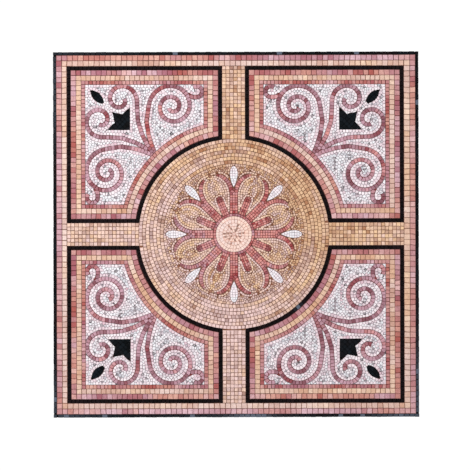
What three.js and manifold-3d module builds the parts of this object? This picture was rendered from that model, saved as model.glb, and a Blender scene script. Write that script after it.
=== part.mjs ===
// Mosaic panel: a square of cut marble laid on a thin setting bed, with a rosette in a round
// field, a cross of four arms and a corner panel with scrollwork in each quarter.
// Millimetres, Z up. The panel stands upright with its face towards -Y and its back at y = 0.
import * as THREE from "three";
import { mergeVertices } from "three/addons/utils/BufferGeometryUtils.js";
import Module from "manifold-3d";

const wasm = await Module();
wasm.setup();

// Whole panel
const PANEL = 1100;            // side of the square
const BED = 4;                 // thickness of the setting bed
const STONE = 8;               // thickness of the stones
const WEB = 1;                 // bedding left under a scroll where it is let into the white ground
const JOINT = 1;               // open joint between neighbouring areas of stone
const BACK = -BED;             // y of the stones' backs
const FACE = -(BED + STONE);   // y of the stones' faces

// Square border rows, as half sides of the square between one row and the next
const ROW_EDGES = [550, 540, 523.5];
const FRAME = { x: -1.5, half: 507 };   // outer edge of the corner panels, set a little to the left

// Cross and round field share one centre, a little off the middle of the panel
const CENTRE = { x: -6.5, z: 1 };
const ARM = 34.5;              // half width of a cross arm
const FIELD_RADIUS = 286.5;
const ARC_SEGMENTS = 8;        // flats in each quarter of the round field
const DISC_SEGMENTS = 16;      // flats round the centre disc and its ring

// Insets of the bands that edge a corner panel
const BANDS = [
  { name: "black_line", from: 0, to: 12, finish: "black" },
  { name: "rose_band", from: 12, to: 28, finish: "rose" },
  { name: "cream_band", from: 28, to: 43.5, finish: "cream" },
  { name: "inner_line", from: 43.5, to: 55.5, finish: "rose" },
];
const GROUND_INSET = 55.5;

// Scrollwork, drawn for the top right corner with u to the right and v up
const SCROLL_GRID = { near: 40, far: 500.7 };  // middles of the black line, inner and outer sides
const SCROLL_HALF_WIDTH = 6.3;
const LARGE_VOLUTE = { u: 186, v: 384.7, start: 0, turns: 1.92, sense: 1, radius: [71.5, -37.5, 2.9] };
const LARGE_STEM = [[238, 243], [253.5, 284], [264, 336]];
const SMALL_VOLUTE = { u: 343, v: 405.5, start: 180, turns: 1.04, sense: -1, radius: [50, -37, 0] };
const SMALL_STEM = [[252, 252], [276.5, 298], [291.5, 352]];
const CURL = { u: 111, v: 429.6, start: 275, turns: 0.62, sense: -1, radius: [16.6, -1, 0] };
const CURL_STEM = [[139, 421], [126, 414]];

// Black bud and leaf on the diagonal of a corner panel
const BUD = { base: 314.5, tip: 381.5, notch: [339, 361.5], head: 368.5 };
const LEAF = { start: 395, length: 55, widths: [3, 9.4, 12, 9.6, 2] };

// Rosette, drawn along one petal or one stalk
const PETALS = 8;
const DISC_RADIUS = 54;
const RING_RADIUS = 62;
const STALK = { halfWidth: 11.5, end: 138 };
const TONGUE = { halfWidth: 10, end: 121 };
const PETAL_SIDE = [[118, 35.5], [136, 38.8], [154, 36.8], [170, 29.4], [183.5, 14.5]];
const PETAL_BASE = 68;
const PETAL_END = 189.5;
const FLANK = [[119, 42], [137, 45.5], [155, 43.2], [171, 35], [183.5, 20]];
const FLANK_WIDTHS = [5.6, 5.9, 5.9, 5.7, 3.6];
const DROP = [[143, 0.8], [159, 7.8], [184, 12], [205.5, 2.4]];

const FINISHES = {
  bed: { color: 0xa8a29a, roughness: 0.95 },
  black: { color: 0x1c1a1c, roughness: 0.6 },
  rose: { color: 0xb57a76, roughness: 0.72 },
  cream: { color: 0xd9b596, roughness: 0.72 },
  beige: { color: 0xc9a37c, roughness: 0.74 },
  white: { color: 0xe6dde0, roughness: 0.7 },
  red: { color: 0xa8605c, roughness: 0.72 },
  pink: { color: 0xe3bba6, roughness: 0.72 },
};

// ---- plane figures -----------------------------------------------------------------------

const radians = (degrees) => (degrees * Math.PI) / 180;

/** Points a square ring needs: the four corners of a rectangle. */
function rectangle(xLow, xHigh, zLow, zHigh) {
  return [[xLow, zLow], [xHigh, zLow], [xHigh, zHigh], [xLow, zHigh]];
}

/** Points on part of a circle, both ends included. */
function arc(centre, radius, from, to, segments) {
  const points = [];
  for (let i = 0; i <= segments; i += 1) {
    const angle = from + ((to - from) * i) / segments;
    points.push([centre.x + radius * Math.cos(angle), centre.z + radius * Math.sin(angle)]);
  }
  return points;
}

/** A whole circle about the centre of the field. */
const circle = (radius) => arc(CENTRE, radius, 0, 2 * Math.PI, DISC_SEGMENTS).slice(0, -1);

/** Outline of a corner panel at one inset; sx and sz choose the quarter. */
function cornerOutline(sx, sz, inset) {
  const near = ARM + inset;
  const radius = FIELD_RADIUS + inset;
  const edge = Math.asin(near / radius);
  const farX = FRAME.x + sx * (FRAME.half - inset);
  const farZ = sz * (FRAME.half - inset);
  const nearX = CENTRE.x + sx * near;
  const nearZ = CENTRE.z + sz * near;
  const round = arc({ x: 0, z: 0 }, radius, edge, Math.PI / 2 - edge, ARC_SEGMENTS)
    .map(([u, v]) => [CENTRE.x + sx * u, CENTRE.z + sz * v]);
  return [...round, [nearX, farZ], [farX, farZ], [farX, nearZ]];
}

/** Outline of the cross and round field together. */
function fieldOutline() {
  const half = ARM - JOINT / 2;
  const radius = FIELD_RADIUS - JOINT / 2;
  const edge = Math.asin(half / radius);
  const ends = [
    [[FRAME.x + FRAME.half, -half], [FRAME.x + FRAME.half, half]],
    [[CENTRE.x + half, FRAME.half], [CENTRE.x - half, FRAME.half]],
    [[FRAME.x - FRAME.half, half], [FRAME.x - FRAME.half, -half]],
    [[CENTRE.x - half, -FRAME.half], [CENTRE.x + half, -FRAME.half]],
  ];
  const points = [];
  for (let quarter = 0; quarter < 4; quarter += 1) {
    const [first, second] = ends[quarter];
    const shift = quarter % 2 === 0 ? CENTRE.z : 0;
    points.push([first[0], first[1] + shift], [second[0], second[1] + shift]);
    const turn = (quarter * Math.PI) / 2;
    points.push(...arc(CENTRE, radius, turn + edge, turn + Math.PI / 2 - edge, ARC_SEGMENTS));
  }
  return points;
}

/** A spiral of the scrollwork, its radius a quadratic in the turns; its flats lengthen inwards. */
function volute({ u, v, start, turns, sense, radius }, steps) {
  const points = [];
  for (let i = 0; i <= steps; i += 1) {
    const t = turns * (i / steps) ** 1.15;
    const r = radius[0] + radius[1] * t + radius[2] * t * t;
    const angle = radians(start + sense * 360 * t);
    points.push([u + r * Math.cos(angle), v + r * Math.sin(angle)]);
  }
  return points;
}

/** Strip of changing half width along a line, closed and with blunt pointed ends. */
function strip(line, halfWidths) {
  const left = [];
  const right = [];
  line.forEach(([u, v], i) => {
    const [pu, pv] = line[Math.max(i - 1, 0)];
    const [nu, nv] = line[Math.min(i + 1, line.length - 1)];
    const length = Math.hypot(nu - pu, nv - pv);
    const half = typeof halfWidths === "number" ? halfWidths : halfWidths[i];
    const du = (-(nv - pv) / length) * half;
    const dv = ((nu - pu) / length) * half;
    left.push([u + du, v + dv]);
    right.unshift([u - du, v - dv]);
  });
  return [...left, ...right];
}

/** Swap u and v: the other half of a corner panel is its mirror across the diagonal. */
const mirrored = (points) => points.map(([u, v]) => [v, u]);

/** Move a figure drawn for the top right corner to the quarter named by sx and sz. */
function toQuarter(points, sx, sz) {
  const middle = ARM + BANDS[0].to / 2;
  const nearX = sx * CENTRE.x + middle;
  const nearZ = sz * CENTRE.z + middle;
  const farX = sx * FRAME.x + FRAME.half - BANDS[0].to / 2;
  const farZ = FRAME.half - BANDS[0].to / 2;
  const span = SCROLL_GRID.far - SCROLL_GRID.near;
  return points.map(([u, v]) => [
    sx * (nearX + ((u - SCROLL_GRID.near) * (farX - nearX)) / span),
    sz * (nearZ + ((v - SCROLL_GRID.near) * (farZ - nearZ)) / span),
  ]);
}

/** Turn a figure drawn as [along, across] to one direction of the rosette. */
function toDirection(points, degrees) {
  const c = Math.cos(radians(degrees));
  const s = Math.sin(radians(degrees));
  return points.map(([a, w]) => [CENTRE.x + a * c - w * s, CENTRE.z + a * s + w * c]);
}

// ---- solids ------------------------------------------------------------------------------

/** The same points as vectors, running anticlockwise, or clockwise for a hole. */
function directed(points, clockwise) {
  const vectors = points.map(([x, z]) => new THREE.Vector2(x, z));
  return THREE.ShapeUtils.isClockWise(vectors) === clockwise ? vectors : vectors.reverse();
}

/** Plate between two depths with any number of holes. */
function plate(outline, yBack, yFront, holes = []) {
  const shape = new THREE.Shape(directed(outline, false));
  holes.forEach((hole) => shape.holes.push(new THREE.Path(directed(hole, true))));
  const geometry = new THREE.ExtrudeGeometry(shape, { depth: 1, bevelEnabled: false, steps: 1 });
  const position = geometry.getAttribute("position");
  for (let i = 0; i < position.count; i += 1) {
    const depth = position.getZ(i) > 0.5 ? yFront : yBack;
    position.setXYZ(i, position.getX(i), depth, position.getY(i));
  }
  geometry.deleteAttribute("normal");
  geometry.deleteAttribute("uv");
  return solidOf(geometry);
}

/** Closed solid from a triangle soup. */
function solidOf(geometry) {
  const merged = mergeVertices(geometry, 1e-5);
  return new wasm.Manifold(new wasm.Mesh({
    numProp: 3,
    vertProperties: new Float32Array(merged.getAttribute("position").array),
    triVerts: new Uint32Array(merged.getIndex().array),
  }));
}

/** One stone-high plate. */
const stonePlate = (outline, holes) => plate(outline, BACK, FACE, holes);

/** Union of many plane figures, each as a plate between two depths. */
function joined(figures, yBack, yFront) {
  return figures.map((figure) => plate(figure, yBack, yFront)).reduce((all, one) => all.add(one));
}

/** Named mesh of a solid in one finish. */
function meshOf(solid, name, finish) {
  const data = solid.getMesh();
  const geometry = new THREE.BufferGeometry();
  geometry.setAttribute("position", new THREE.BufferAttribute(new Float32Array(data.vertProperties), 3));
  geometry.setIndex(new THREE.BufferAttribute(new Uint32Array(data.triVerts), 1));
  const flat = geometry.toNonIndexed();
  flat.computeVertexNormals();
  const mesh = new THREE.Mesh(flat, new THREE.MeshStandardMaterial({ ...FINISHES[finish], metalness: 0 }));
  mesh.name = name;
  return mesh;
}

// ---- border ------------------------------------------------------------------------------

function settingBed() {
  const half = PANEL / 2;
  return meshOf(plate(rectangle(-half, half, -half, half), 0, BACK), "setting_bed", "bed");
}

/** The three square rows round the edge: black, rose and cream. */
function borderRows() {
  const gap = JOINT / 2;
  const square = (half) => rectangle(-half, half, -half, half);
  const inner = rectangle(
    FRAME.x - FRAME.half - gap,
    FRAME.x + FRAME.half + gap,
    -FRAME.half - gap,
    FRAME.half + gap,
  );
  const black = stonePlate(square(ROW_EDGES[0]), [square(ROW_EDGES[1] + gap)]);
  const rose = stonePlate(square(ROW_EDGES[1] - gap), [square(ROW_EDGES[2] + gap)]);
  const cream = stonePlate(square(ROW_EDGES[2] - gap), [inner]);
  return [
    meshOf(black, "outer_black_row", "black"),
    meshOf(rose, "outer_rose_row", "rose"),
    meshOf(cream, "outer_cream_row", "cream"),
  ];
}

// ---- corner panels -----------------------------------------------------------------------

/** Centre lines of the scrollwork in one half of a corner panel. */
function scrollLines() {
  return [
    [...LARGE_STEM, ...volute(LARGE_VOLUTE, 14)],
    [...SMALL_STEM, ...volute(SMALL_VOLUTE, 8)],
    [...CURL_STEM, ...volute(CURL, 5)],
  ];
}

/** Strokes of the whole scroll of a corner panel, widened by grow on every side. */
function scrollFigures(sx, sz, grow) {
  const strokes = scrollLines().map((line) => strip(line, SCROLL_HALF_WIDTH + grow));
  return [...strokes, ...strokes.map(mirrored)].map((points) => toQuarter(points, sx, sz));
}

/** The bud: a square with its two upper corners and its head drawn out to points. */
function budFigure(grow) {
  const { base, tip, notch, head } = BUD;
  const side = [[base - grow, tip + grow], [notch[0], notch[1] + grow], [head + grow, head + grow]];
  return [[base - grow, base - grow], ...side, ...mirrored(side.slice(0, 2)).reverse()];
}

/** The leaf: a lens along the diagonal. */
function leafFigure(grow) {
  const count = LEAF.widths.length - 1;
  const line = LEAF.widths.map((_, i) => {
    const along = LEAF.start + ((LEAF.length + 2 * grow) * i) / count / Math.SQRT2 - grow / Math.SQRT2;
    return [along, along];
  });
  return strip(line, LEAF.widths.map((w) => w + grow));
}

/** Everything in one corner panel. */
function cornerPanel(prefix, sx, sz) {
  const gap = JOINT / 2;
  const meshes = BANDS.map(({ name, from, to, finish }) => {
    const ring = stonePlate(cornerOutline(sx, sz, from + gap), [cornerOutline(sx, sz, to - gap)]);
    return meshOf(ring, `${prefix}_${name}`, finish);
  });
  const outline = cornerOutline(sx, sz, GROUND_INSET + gap);
  const scroll = joined(scrollFigures(sx, sz, 0), BACK - WEB, FACE)
    .intersect(plate(outline, BACK, FACE - 1));
  const bud = toQuarter(budFigure(0), sx, sz);
  const leaf = toQuarter(leafFigure(0), sx, sz);
  const pockets = [budFigure(JOINT), leafFigure(JOINT)].map((figure) => toQuarter(figure, sx, sz));
  const ground = stonePlate(outline)
    .subtract(joined(scrollFigures(sx, sz, JOINT), BACK - WEB, FACE - 1))
    .subtract(joined(pockets, BACK + 1, FACE - 1));
  meshes.push(
    meshOf(ground, `${prefix}_white_ground`, "white"),
    meshOf(scroll, `${prefix}_scroll`, "red"),
    meshOf(stonePlate(bud), `${prefix}_bud`, "black"),
    meshOf(stonePlate(leaf), `${prefix}_leaf`, "black"),
  );
  return meshes;
}

// ---- rosette and field -------------------------------------------------------------------

const bothSides = (side) => [...side, ...side.map(([a, w]) => [a, -w]).reverse()];

/** One tongue: parallel sides and a round end. */
function tongueFigure(grow) {
  const half = TONGUE.halfWidth + grow;
  const start = TONGUE.end - TONGUE.halfWidth;
  const side = [[RING_RADIUS - 6, half], [start, half]];
  side.push([start + half * 0.71, half * 0.71]);
  return [...bothSides(side).slice(0, 3), [start + half, 0], ...bothSides(side).slice(3)];
}

/** One stalk. */
function stalkFigure(grow) {
  const half = STALK.halfWidth + grow;
  return [[RING_RADIUS - 8, half], [STALK.end - 12, half], [STALK.end + grow, 3], [STALK.end + grow, -3],
    [STALK.end - 12, -half], [RING_RADIUS - 8, -half]];
}

/** One petal, from the ring to its top, before the tongue is taken out of it. */
function petalFigure(grow) {
  const slope = Math.tan(radians(180 / PETALS));
  const edge = (STALK.halfWidth + JOINT) / Math.cos(radians(180 / PETALS));
  const foot = [PETAL_BASE - grow, PETAL_BASE * slope - edge + grow];
  const side = PETAL_SIDE.map(([a, w]) => [a, w + grow]);
  const half = [foot, ...side];
  return [...half, [PETAL_END + grow, 0], ...half.map(([a, w]) => [a, -w]).reverse()];
}

/** The two flanks that curl from the stalks round the top of one petal. */
function flankFigures(grow) {
  const one = strip(FLANK, FLANK_WIDTHS.map((w) => w + grow));
  return [one, one.map(([a, w]) => [a, -w])];
}

/** Base ring, stalks, tongues and flanks, all of them one red figure. */
function redFigures(grow) {
  const full = circle(RING_RADIUS + grow);
  const figures = [full];
  for (let k = 0; k < PETALS; k += 1) {
    const stalk = (360 * k) / PETALS;
    const petal = stalk + 180 / PETALS;
    figures.push(toDirection(stalkFigure(grow), stalk), toDirection(tongueFigure(grow), petal));
    flankFigures(grow).forEach((figure) => figures.push(toDirection(figure, petal)));
  }
  return figures;
}

function rosette() {
  const hole = plate(circle(DISC_RADIUS + JOINT), BACK + 1, FACE - 1);
  const red = joined(redFigures(0), BACK, FACE).subtract(hole);
  const around = joined(redFigures(JOINT), BACK + 1, FACE - 1);
  const meshes = [
    meshOf(red, "rosette_red_work", "red"),
    meshOf(stonePlate(circle(DISC_RADIUS)), "centre_disc", "pink"),
  ];
  for (let k = 0; k < PETALS; k += 1) {
    const stalk = (360 * k) / PETALS;
    const petal = stalk + 180 / PETALS;
    const fill = stonePlate(toDirection(petalFigure(0), petal)).subtract(around);
    meshes.push(meshOf(fill, `petal_${k + 1}`, "beige"));
    meshes.push(meshOf(stonePlate(toDirection(bothSides(DROP), stalk)), `white_drop_${k + 1}`, "white"));
  }
  return meshes;
}

/** Cross and round field with the rosette's outline cut out of it. */
function field() {
  const figures = redFigures(JOINT);
  const drop = bothSides(DROP.map(([a, w]) => [a + (a > DROP[1][0] ? JOINT : -JOINT), w + JOINT]));
  for (let k = 0; k < PETALS; k += 1) {
    const stalk = (360 * k) / PETALS;
    figures.push(toDirection(petalFigure(JOINT), stalk + 180 / PETALS), toDirection(drop, stalk));
  }
  const whole = stonePlate(fieldOutline()).subtract(joined(figures, BACK + 1, FACE - 1));
  const parts = whole.decompose().sort((a, b) => b.volume() - a.volume());
  return meshOf(parts[0], "beige_field", "beige");
}

// ---- the panel ---------------------------------------------------------------------------

const panel = new THREE.Group();
panel.name = "mosaic_panel";
panel.add(settingBed(), ...borderRows(), field(), ...rosette());
[["top_right", 1, 1], ["top_left", -1, 1], ["bottom_left", -1, -1], ["bottom_right", 1, -1]]
  .forEach(([prefix, sx, sz]) => panel.add(...cornerPanel(prefix, sx, sz)));

export default panel;
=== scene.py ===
"""Square mosaic panel of cut marble, laid stone by stone on its setting bed.

The panel stands upright with its face towards -Y and its back at y = 0. Sizes below are in
millimetres in the plane of the face, x to the right and z up, and become metres in the meshes.
"""

import logging
import math
import random
from collections import defaultdict
from collections.abc import Callable, Iterable, Iterator, Sequence
from dataclasses import dataclass, field
from enum import Enum
from functools import cache

import bmesh
import bpy
import numpy as np
from mathutils import Euler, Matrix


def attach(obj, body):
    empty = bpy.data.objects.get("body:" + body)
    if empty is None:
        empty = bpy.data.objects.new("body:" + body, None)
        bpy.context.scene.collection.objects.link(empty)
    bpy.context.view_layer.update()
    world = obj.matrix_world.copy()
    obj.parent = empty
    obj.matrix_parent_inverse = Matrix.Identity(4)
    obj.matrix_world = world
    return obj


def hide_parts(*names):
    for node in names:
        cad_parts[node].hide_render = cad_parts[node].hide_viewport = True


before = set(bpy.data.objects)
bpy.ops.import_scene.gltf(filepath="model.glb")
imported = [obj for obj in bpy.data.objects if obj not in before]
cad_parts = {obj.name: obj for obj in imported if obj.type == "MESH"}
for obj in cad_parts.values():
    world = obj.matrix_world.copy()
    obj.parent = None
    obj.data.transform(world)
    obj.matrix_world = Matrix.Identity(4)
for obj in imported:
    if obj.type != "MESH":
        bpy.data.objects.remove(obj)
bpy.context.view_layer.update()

LOG = logging.getLogger("mosaic_panel")
MM = 0.001
TINY = 1e-6
Point = tuple[float, float]

# Setting out of the panel, shared by the corner panels and the field
CENTRE: Point = (-6.5, 1.0)
ARM = 34.5
FIELD_RADIUS = 286.5
FRAME_X = -1.5
FRAME_HALF = 507.0


class Slot(Enum):
    """Material slots of the record that the pieces take their finish from."""

    BED = "setting_bed"
    BLACK = "black_marble"
    ROSE = "rose_marble"
    CREAM = "cream_marble"
    BEIGE = "beige_marble"
    WHITE = "white_marble"
    RED = "red_marble"
    PINK = "pink_marble"


class Quarter(Enum):
    """The four corner panels, each with the signs of its x and z."""

    TOP_RIGHT = (1, 1)
    TOP_LEFT = (-1, 1)
    BOTTOM_LEFT = (-1, -1)
    BOTTOM_RIGHT = (1, -1)

    @property
    def prefix(self) -> str:
        """Start of the names of the pieces in this quarter."""
        return self.name.lower()


# ---- lines and outlines ------------------------------------------------------------------


def stations(line: Sequence[Point], pitch: float, ends: bool = True) -> list[Point]:
    """Spread points evenly along an open line.

    Args:
        line: Corners of the line.
        pitch: Wanted distance from one point to the next.
        ends: True to put points on both ends, False to keep half a pitch away from them.

    Returns:
        The points in order.
    """
    lengths = [math.dist(a, b) for a, b in zip(line, line[1:])]
    total = sum(lengths)
    count = max(1, round(total / pitch))
    marks = [total * (i if ends else i + 0.5) / count for i in range(count + (1 if ends else 0))]
    points, run, leg = [], 0.0, 0
    for mark in marks:
        while leg < len(lengths) - 1 and run + lengths[leg] < mark:
            run += lengths[leg]
            leg += 1
        part = (mark - run) / max(lengths[leg], 1e-9)
        (ax, az), (bx, bz) = line[leg], line[leg + 1]
        points.append((ax + (bx - ax) * part, az + (bz - az) * part))
    return points


def beside(line: Sequence[Point], distance: float | Sequence[float]) -> list[Point]:
    """Line that runs beside another, to its left where the distance is positive.

    Args:
        line: Corners of the line to follow.
        distance: How far away to run, one value or one for each corner.

    Returns:
        Corners of the new line.
    """
    shifted = []
    for i, (x, z) in enumerate(line):
        px, pz = line[max(i - 1, 0)]
        nx, nz = line[min(i + 1, len(line) - 1)]
        length = math.hypot(nx - px, nz - pz) or 1.0
        away = distance if isinstance(distance, (int, float)) else distance[i]
        shifted.append((x - (nz - pz) / length * away, z + (nx - px) / length * away))
    return shifted


def strip(line: Sequence[Point], half: float | Sequence[float]) -> list[Point]:
    """Closed outline of a band along a line; half is half its width, or one value a corner."""
    other = -half if isinstance(half, (int, float)) else [-h for h in half]
    return beside(line, half) + beside(line, other)[::-1]


def arc(centre: Point, radius: float, start: float, end: float, count: int) -> list[Point]:
    """Points on part of a circle, both ends included; the angles are in radians."""
    angles = [start + (end - start) * i / count for i in range(count + 1)]
    return [(centre[0] + radius * math.cos(a), centre[1] + radius * math.sin(a)) for a in angles]


def mirrored(points: Iterable[Point]) -> list[Point]:
    """The same points with their two coordinates swapped."""
    return [(b, a) for a, b in points]


def flipped(points: Iterable[Point], side: int) -> list[Point]:
    """Points given as [along, across], moved across their axis where side is -1."""
    return [(a, w * side) for a, w in points]


def both_sides(side: Sequence[Point]) -> list[Point]:
    """Outline that is the same on both sides of its axis, from [along, across] points."""
    return [*side, *[(a, -w) for a, w in reversed(side)]]


@dataclass
class Outline:
    """Closed outline that stones are cut to.

    Args:
        points: Corners in order.
        cuts: Names of the figures whose stones it cuts, none where it cuts every stone of an area.
    """

    points: Sequence[Point]
    cuts: tuple[str, ...] = ()
    starts: np.ndarray = field(init=False)
    runs: np.ndarray = field(init=False)

    def __post_init__(self) -> None:
        """Keep the sides as arrays."""
        corners = np.array(self.points, dtype=float)
        self.starts = corners
        self.runs = np.roll(corners, -1, axis=0) - corners

    def holds(self, spots: np.ndarray) -> np.ndarray:
        """Say for each spot whether it lies inside.

        Args:
            spots: Array of (x, z) rows.

        Returns:
            Array of truth values.
        """
        low, high = self.starts[:, 1], self.starts[:, 1] + self.runs[:, 1]
        z = spots[:, 1:2]
        spans = (low[None, :] > z) != (high[None, :] > z)
        with np.errstate(divide="ignore", invalid="ignore"):
            crossing = self.starts[:, 0] + (z - low) * self.runs[:, 0] / self.runs[:, 1]
        return (np.count_nonzero(spans & (spots[:, :1] < crossing), axis=1) % 2).astype(bool)

    def gap(self, spots: np.ndarray) -> np.ndarray:
        """Distance of each spot from the outline.

        Args:
            spots: Array of (x, z) rows.

        Returns:
            Array of distances.
        """
        away = spots[:, None, :] - self.starts[None, :, :]
        square = np.maximum((self.runs ** 2).sum(axis=1), 1e-12)
        part = np.clip((away * self.runs).sum(axis=2) / square, 0.0, 1.0)
        rest = away - part[:, :, None] * self.runs[None, :, :]
        return np.sqrt((rest ** 2).sum(axis=2)).min(axis=1)


def open_ground(points: Sequence[Point], outer: Outline, figures: Sequence[Outline],
                clearance: float, from_edge: bool = False) -> list[Point]:
    """Keep the points that lie inside one outline, outside others and clear of their edges.

    Args:
        points: Points to choose from.
        outer: Outline that they must be in.
        figures: Outlines that they must be out of.
        clearance: Least distance from the edges of the figures.
        from_edge: True to keep that distance from the outer outline too.

    Returns:
        The points that are left.
    """
    spots = np.array(points, dtype=float).reshape(-1, 2)
    spots = spots[outer.holds(spots)]
    if from_edge:
        spots = spots[outer.gap(spots) > clearance]
    for figure in figures:
        low, high = figure.starts.min(axis=0) - clearance, figure.starts.max(axis=0) + clearance
        close = ((spots > low) & (spots < high)).all(axis=1)
        blocked = np.zeros(len(spots), dtype=bool)
        if close.any():
            blocked[close] = figure.holds(spots[close]) | (figure.gap(spots[close]) <= clearance)
        spots = spots[~blocked]
    return [(float(x), float(z)) for x, z in spots]


# ---- cutting stones ----------------------------------------------------------------------


def cut_back(shape: list[Point], px: float, pz: float, nx: float, nz: float) -> list[Point]:
    """Cut a convex shape along a line and keep the part behind it.

    Args:
        shape: Corners of the shape.
        px: x of a point on the line.
        pz: z of the same point.
        nx: x of the line's normal, which points to the part that goes.
        nz: z of the same normal.

    Returns:
        Corners of what is left.
    """
    kept = []
    before = shape[-1]
    first = (before[0] - px) * nx + (before[1] - pz) * nz
    for corner in shape:
        second = (corner[0] - px) * nx + (corner[1] - pz) * nz
        if (first <= 0) != (second <= 0):
            part = first / (first - second)
            kept.append((before[0] + (corner[0] - before[0]) * part,
                         before[1] + (corner[1] - before[1]) * part))
        if second <= 0:
            kept.append(corner)
        before, first = corner, second
    return kept


def crosses(shape: list[Point], a: Point, b: Point, margin: float) -> bool:
    """Say whether a segment passes through a convex shape or within a margin of it.

    Args:
        shape: Corners of the shape, anticlockwise.
        a: One end of the segment.
        b: The other end.
        margin: Distance that still counts.

    Returns:
        True where it does.
    """
    enter, leave = 0.0, 1.0
    dx, dz = b[0] - a[0], b[1] - a[1]
    before = shape[-1]
    for corner in shape:
        ex, ez = corner[0] - before[0], corner[1] - before[1]
        length = math.hypot(ex, ez)
        if length > TINY:
            nx, nz = ez / length, -ex / length
            out = (a[0] - before[0]) * nx + (a[1] - before[1]) * nz - margin
            speed = dx * nx + dz * nz
            if abs(speed) < 1e-9:
                if out > 0:
                    return False
            elif speed > 0:
                leave = min(leave, -out / speed)
            else:
                enter = max(enter, -out / speed)
            if enter > leave:
                return False
        before = corner
    return True


SAME_CORNER = 0.8
THINNEST = 0.75


def trimmed(shape: list[Point], least_area: float) -> list[Point]:
    """Drop corners that almost coincide, and drop the shape where it is only a sliver.

    Args:
        shape: Corners of a convex shape.
        least_area: Smallest area that is worth laying.

    Returns:
        Corners that are left, or none.
    """
    corners: list[Point] = []
    for corner in shape:
        if not corners or math.dist(corner, corners[-1]) > SAME_CORNER:
            corners.append(corner)
    while len(corners) > 2 and math.dist(corners[0], corners[-1]) <= SAME_CORNER:
        corners.pop()
    if len(corners) < 3:
        return []
    area = sum(a[0] * b[1] - b[0] * a[1] for a, b in zip(corners, corners[1:] + corners[:1])) / 2
    around = sum(math.dist(a, b) for a, b in zip(corners, corners[1:] + corners[:1]))
    return corners if area >= least_area and area / around > THINNEST else []


@dataclass(frozen=True)
class Shade:
    """How the stones of a row differ in colour.

    Args:
        tone: Middle of the dark to pale scale, from 0 to 1.
        spread: How far the tone strays.
        warmth: Middle of the cool to warm scale, from 0 to 1.
        stray: How far the warmth strays.
        accent: Share of the accent colour.
        odd: Share of stones that are of the accent colour altogether.
    """

    tone: float = 0.5
    spread: float = 0.25
    warmth: float = 0.5
    stray: float = 0.25
    accent: float = 0.0
    odd: float = 0.0

    RUN = (0.45, 0.8)

    def draw(self, chance: random.Random, run: list[float]) -> tuple[float, float, float, float]:
        """Pick the shade of one stone, a little like the one before it.

        Args:
            chance: Random numbers.
            run: How far the last stone strayed in tone and warmth; this call updates it.

        Returns:
            Tone, warmth, accent and a random number.
        """
        for i, keep in enumerate(self.RUN):
            run[i] = keep * run[i] + math.sqrt(1 - keep ** 2) * chance.gauss(0, 1)
        tone = min(1.0, max(0.0, self.tone + self.spread * run[0]))
        warmth = min(1.0, max(0.0, self.warmth + self.stray * run[1]))
        accent = 1.0 if chance.random() < self.odd else self.accent
        return (tone, warmth, accent, chance.random())


@dataclass(frozen=True)
class Batch:
    """Part of the panel that was laid from another batch of stone.

    Args:
        x: Middle, to the right.
        z: Middle, upwards.
        radius: How far it spreads.
        tone: Change of tone in its middle.
        warmth: Change of warmth in its middle.
        accent: Share of the accent colour that its middle gains.
    """

    x: float
    z: float
    radius: float
    tone: float
    warmth: float
    accent: float = 0.0

    FADE = 0.6

    def weight(self, x: float, z: float) -> float:
        """Share of the batch's change that a place gets."""
        return math.exp(-((x - self.x) ** 2 + (z - self.z) ** 2) / (2 * (self.radius * self.FADE) ** 2))


FIELD_BATCHES = (
    Batch(-150, 190, 120, 0.03, 0.05),
    Batch(-20, 300, 200, -0.1, 0.3),
    Batch(230, 60, 190, -0.14, 0.6, 0.05),
    Batch(420, 0, 120, 0.05, 0.15),
    Batch(-260, -30, 170, 0.13, -0.25),
    Batch(-450, 0, 120, 0.08, -0.1),
    Batch(-20, -270, 200, 0.2, -0.45),
    Batch(-20, -450, 120, 0.1, -0.15),
)
EDGE_BATCHES = (
    Batch(540, 200, 260, 0.05, 0.4),
    Batch(540, -250, 260, 0.08, 0.1),
    Batch(100, 540, 200, -0.05, -0.4),
    Batch(-350, 540, 220, -0.05, 0.3),
    Batch(-540, 0, 320, 0.1, -0.3),
    Batch(0, -540, 380, 0.2, -0.4),
)
RED_BATCHES = (
    Batch(-170, 20, 90, 0.1, -0.5),
    Batch(-110, -110, 80, 0.05, -0.3),
    Batch(0, -130, 70, -0.2, 0.4),
    Batch(60, 110, 80, -0.1, 0.4),
    Batch(-60, 150, 70, -0.1, -0.1, 0.15),
    Batch(180, 0, 90, 0.0, 0.3),
)
WORN_EDGE = (
    Batch(-530, -530, 130, 0.15, -0.4, 0.32),
    Batch(510, -545, 110, 0.2, -0.3, 0.6),
    Batch(550, -420, 110, 0.2, -0.3, 0.3),
    Batch(44, -548, 62, 0.3, -0.3, 1.0),
    Batch(-550, 430, 160, 0.15, -0.2, 0.25),
    Batch(-60, -550, 260, 0.1, -0.5, 0.12),
)
CHIPPED_LINE = (Batch(188, -220, 9, 0.6, 0.0, 1.4),)


def tinted(batches: Sequence[Batch]) -> Callable[[float, float, tuple], tuple]:
    """Make a function that shifts the shade of a stone by the batches round it.

    Args:
        batches: Batches of stone, each with its place.

    Returns:
        Function of the stone's x and z and its shade, which returns the changed shade.
    """

    def tint(x: float, z: float, shade: tuple) -> tuple:
        """Shift the tone, warmth and accent of one stone.

        Args:
            x: Its middle, to the right.
            z: Its middle, upwards.
            shade: Its tone, warmth, accent and random number.

        Returns:
            The same four values, changed.
        """
        changed = list(shade)
        for batch in batches:
            weight = batch.weight(x, z)
            for i, change in enumerate((batch.tone, batch.warmth, batch.accent)):
                changed[i] += change * weight
        return (*(min(1.0, max(0.0, value)) for value in changed[:3]), shade[3])

    return tint


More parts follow.
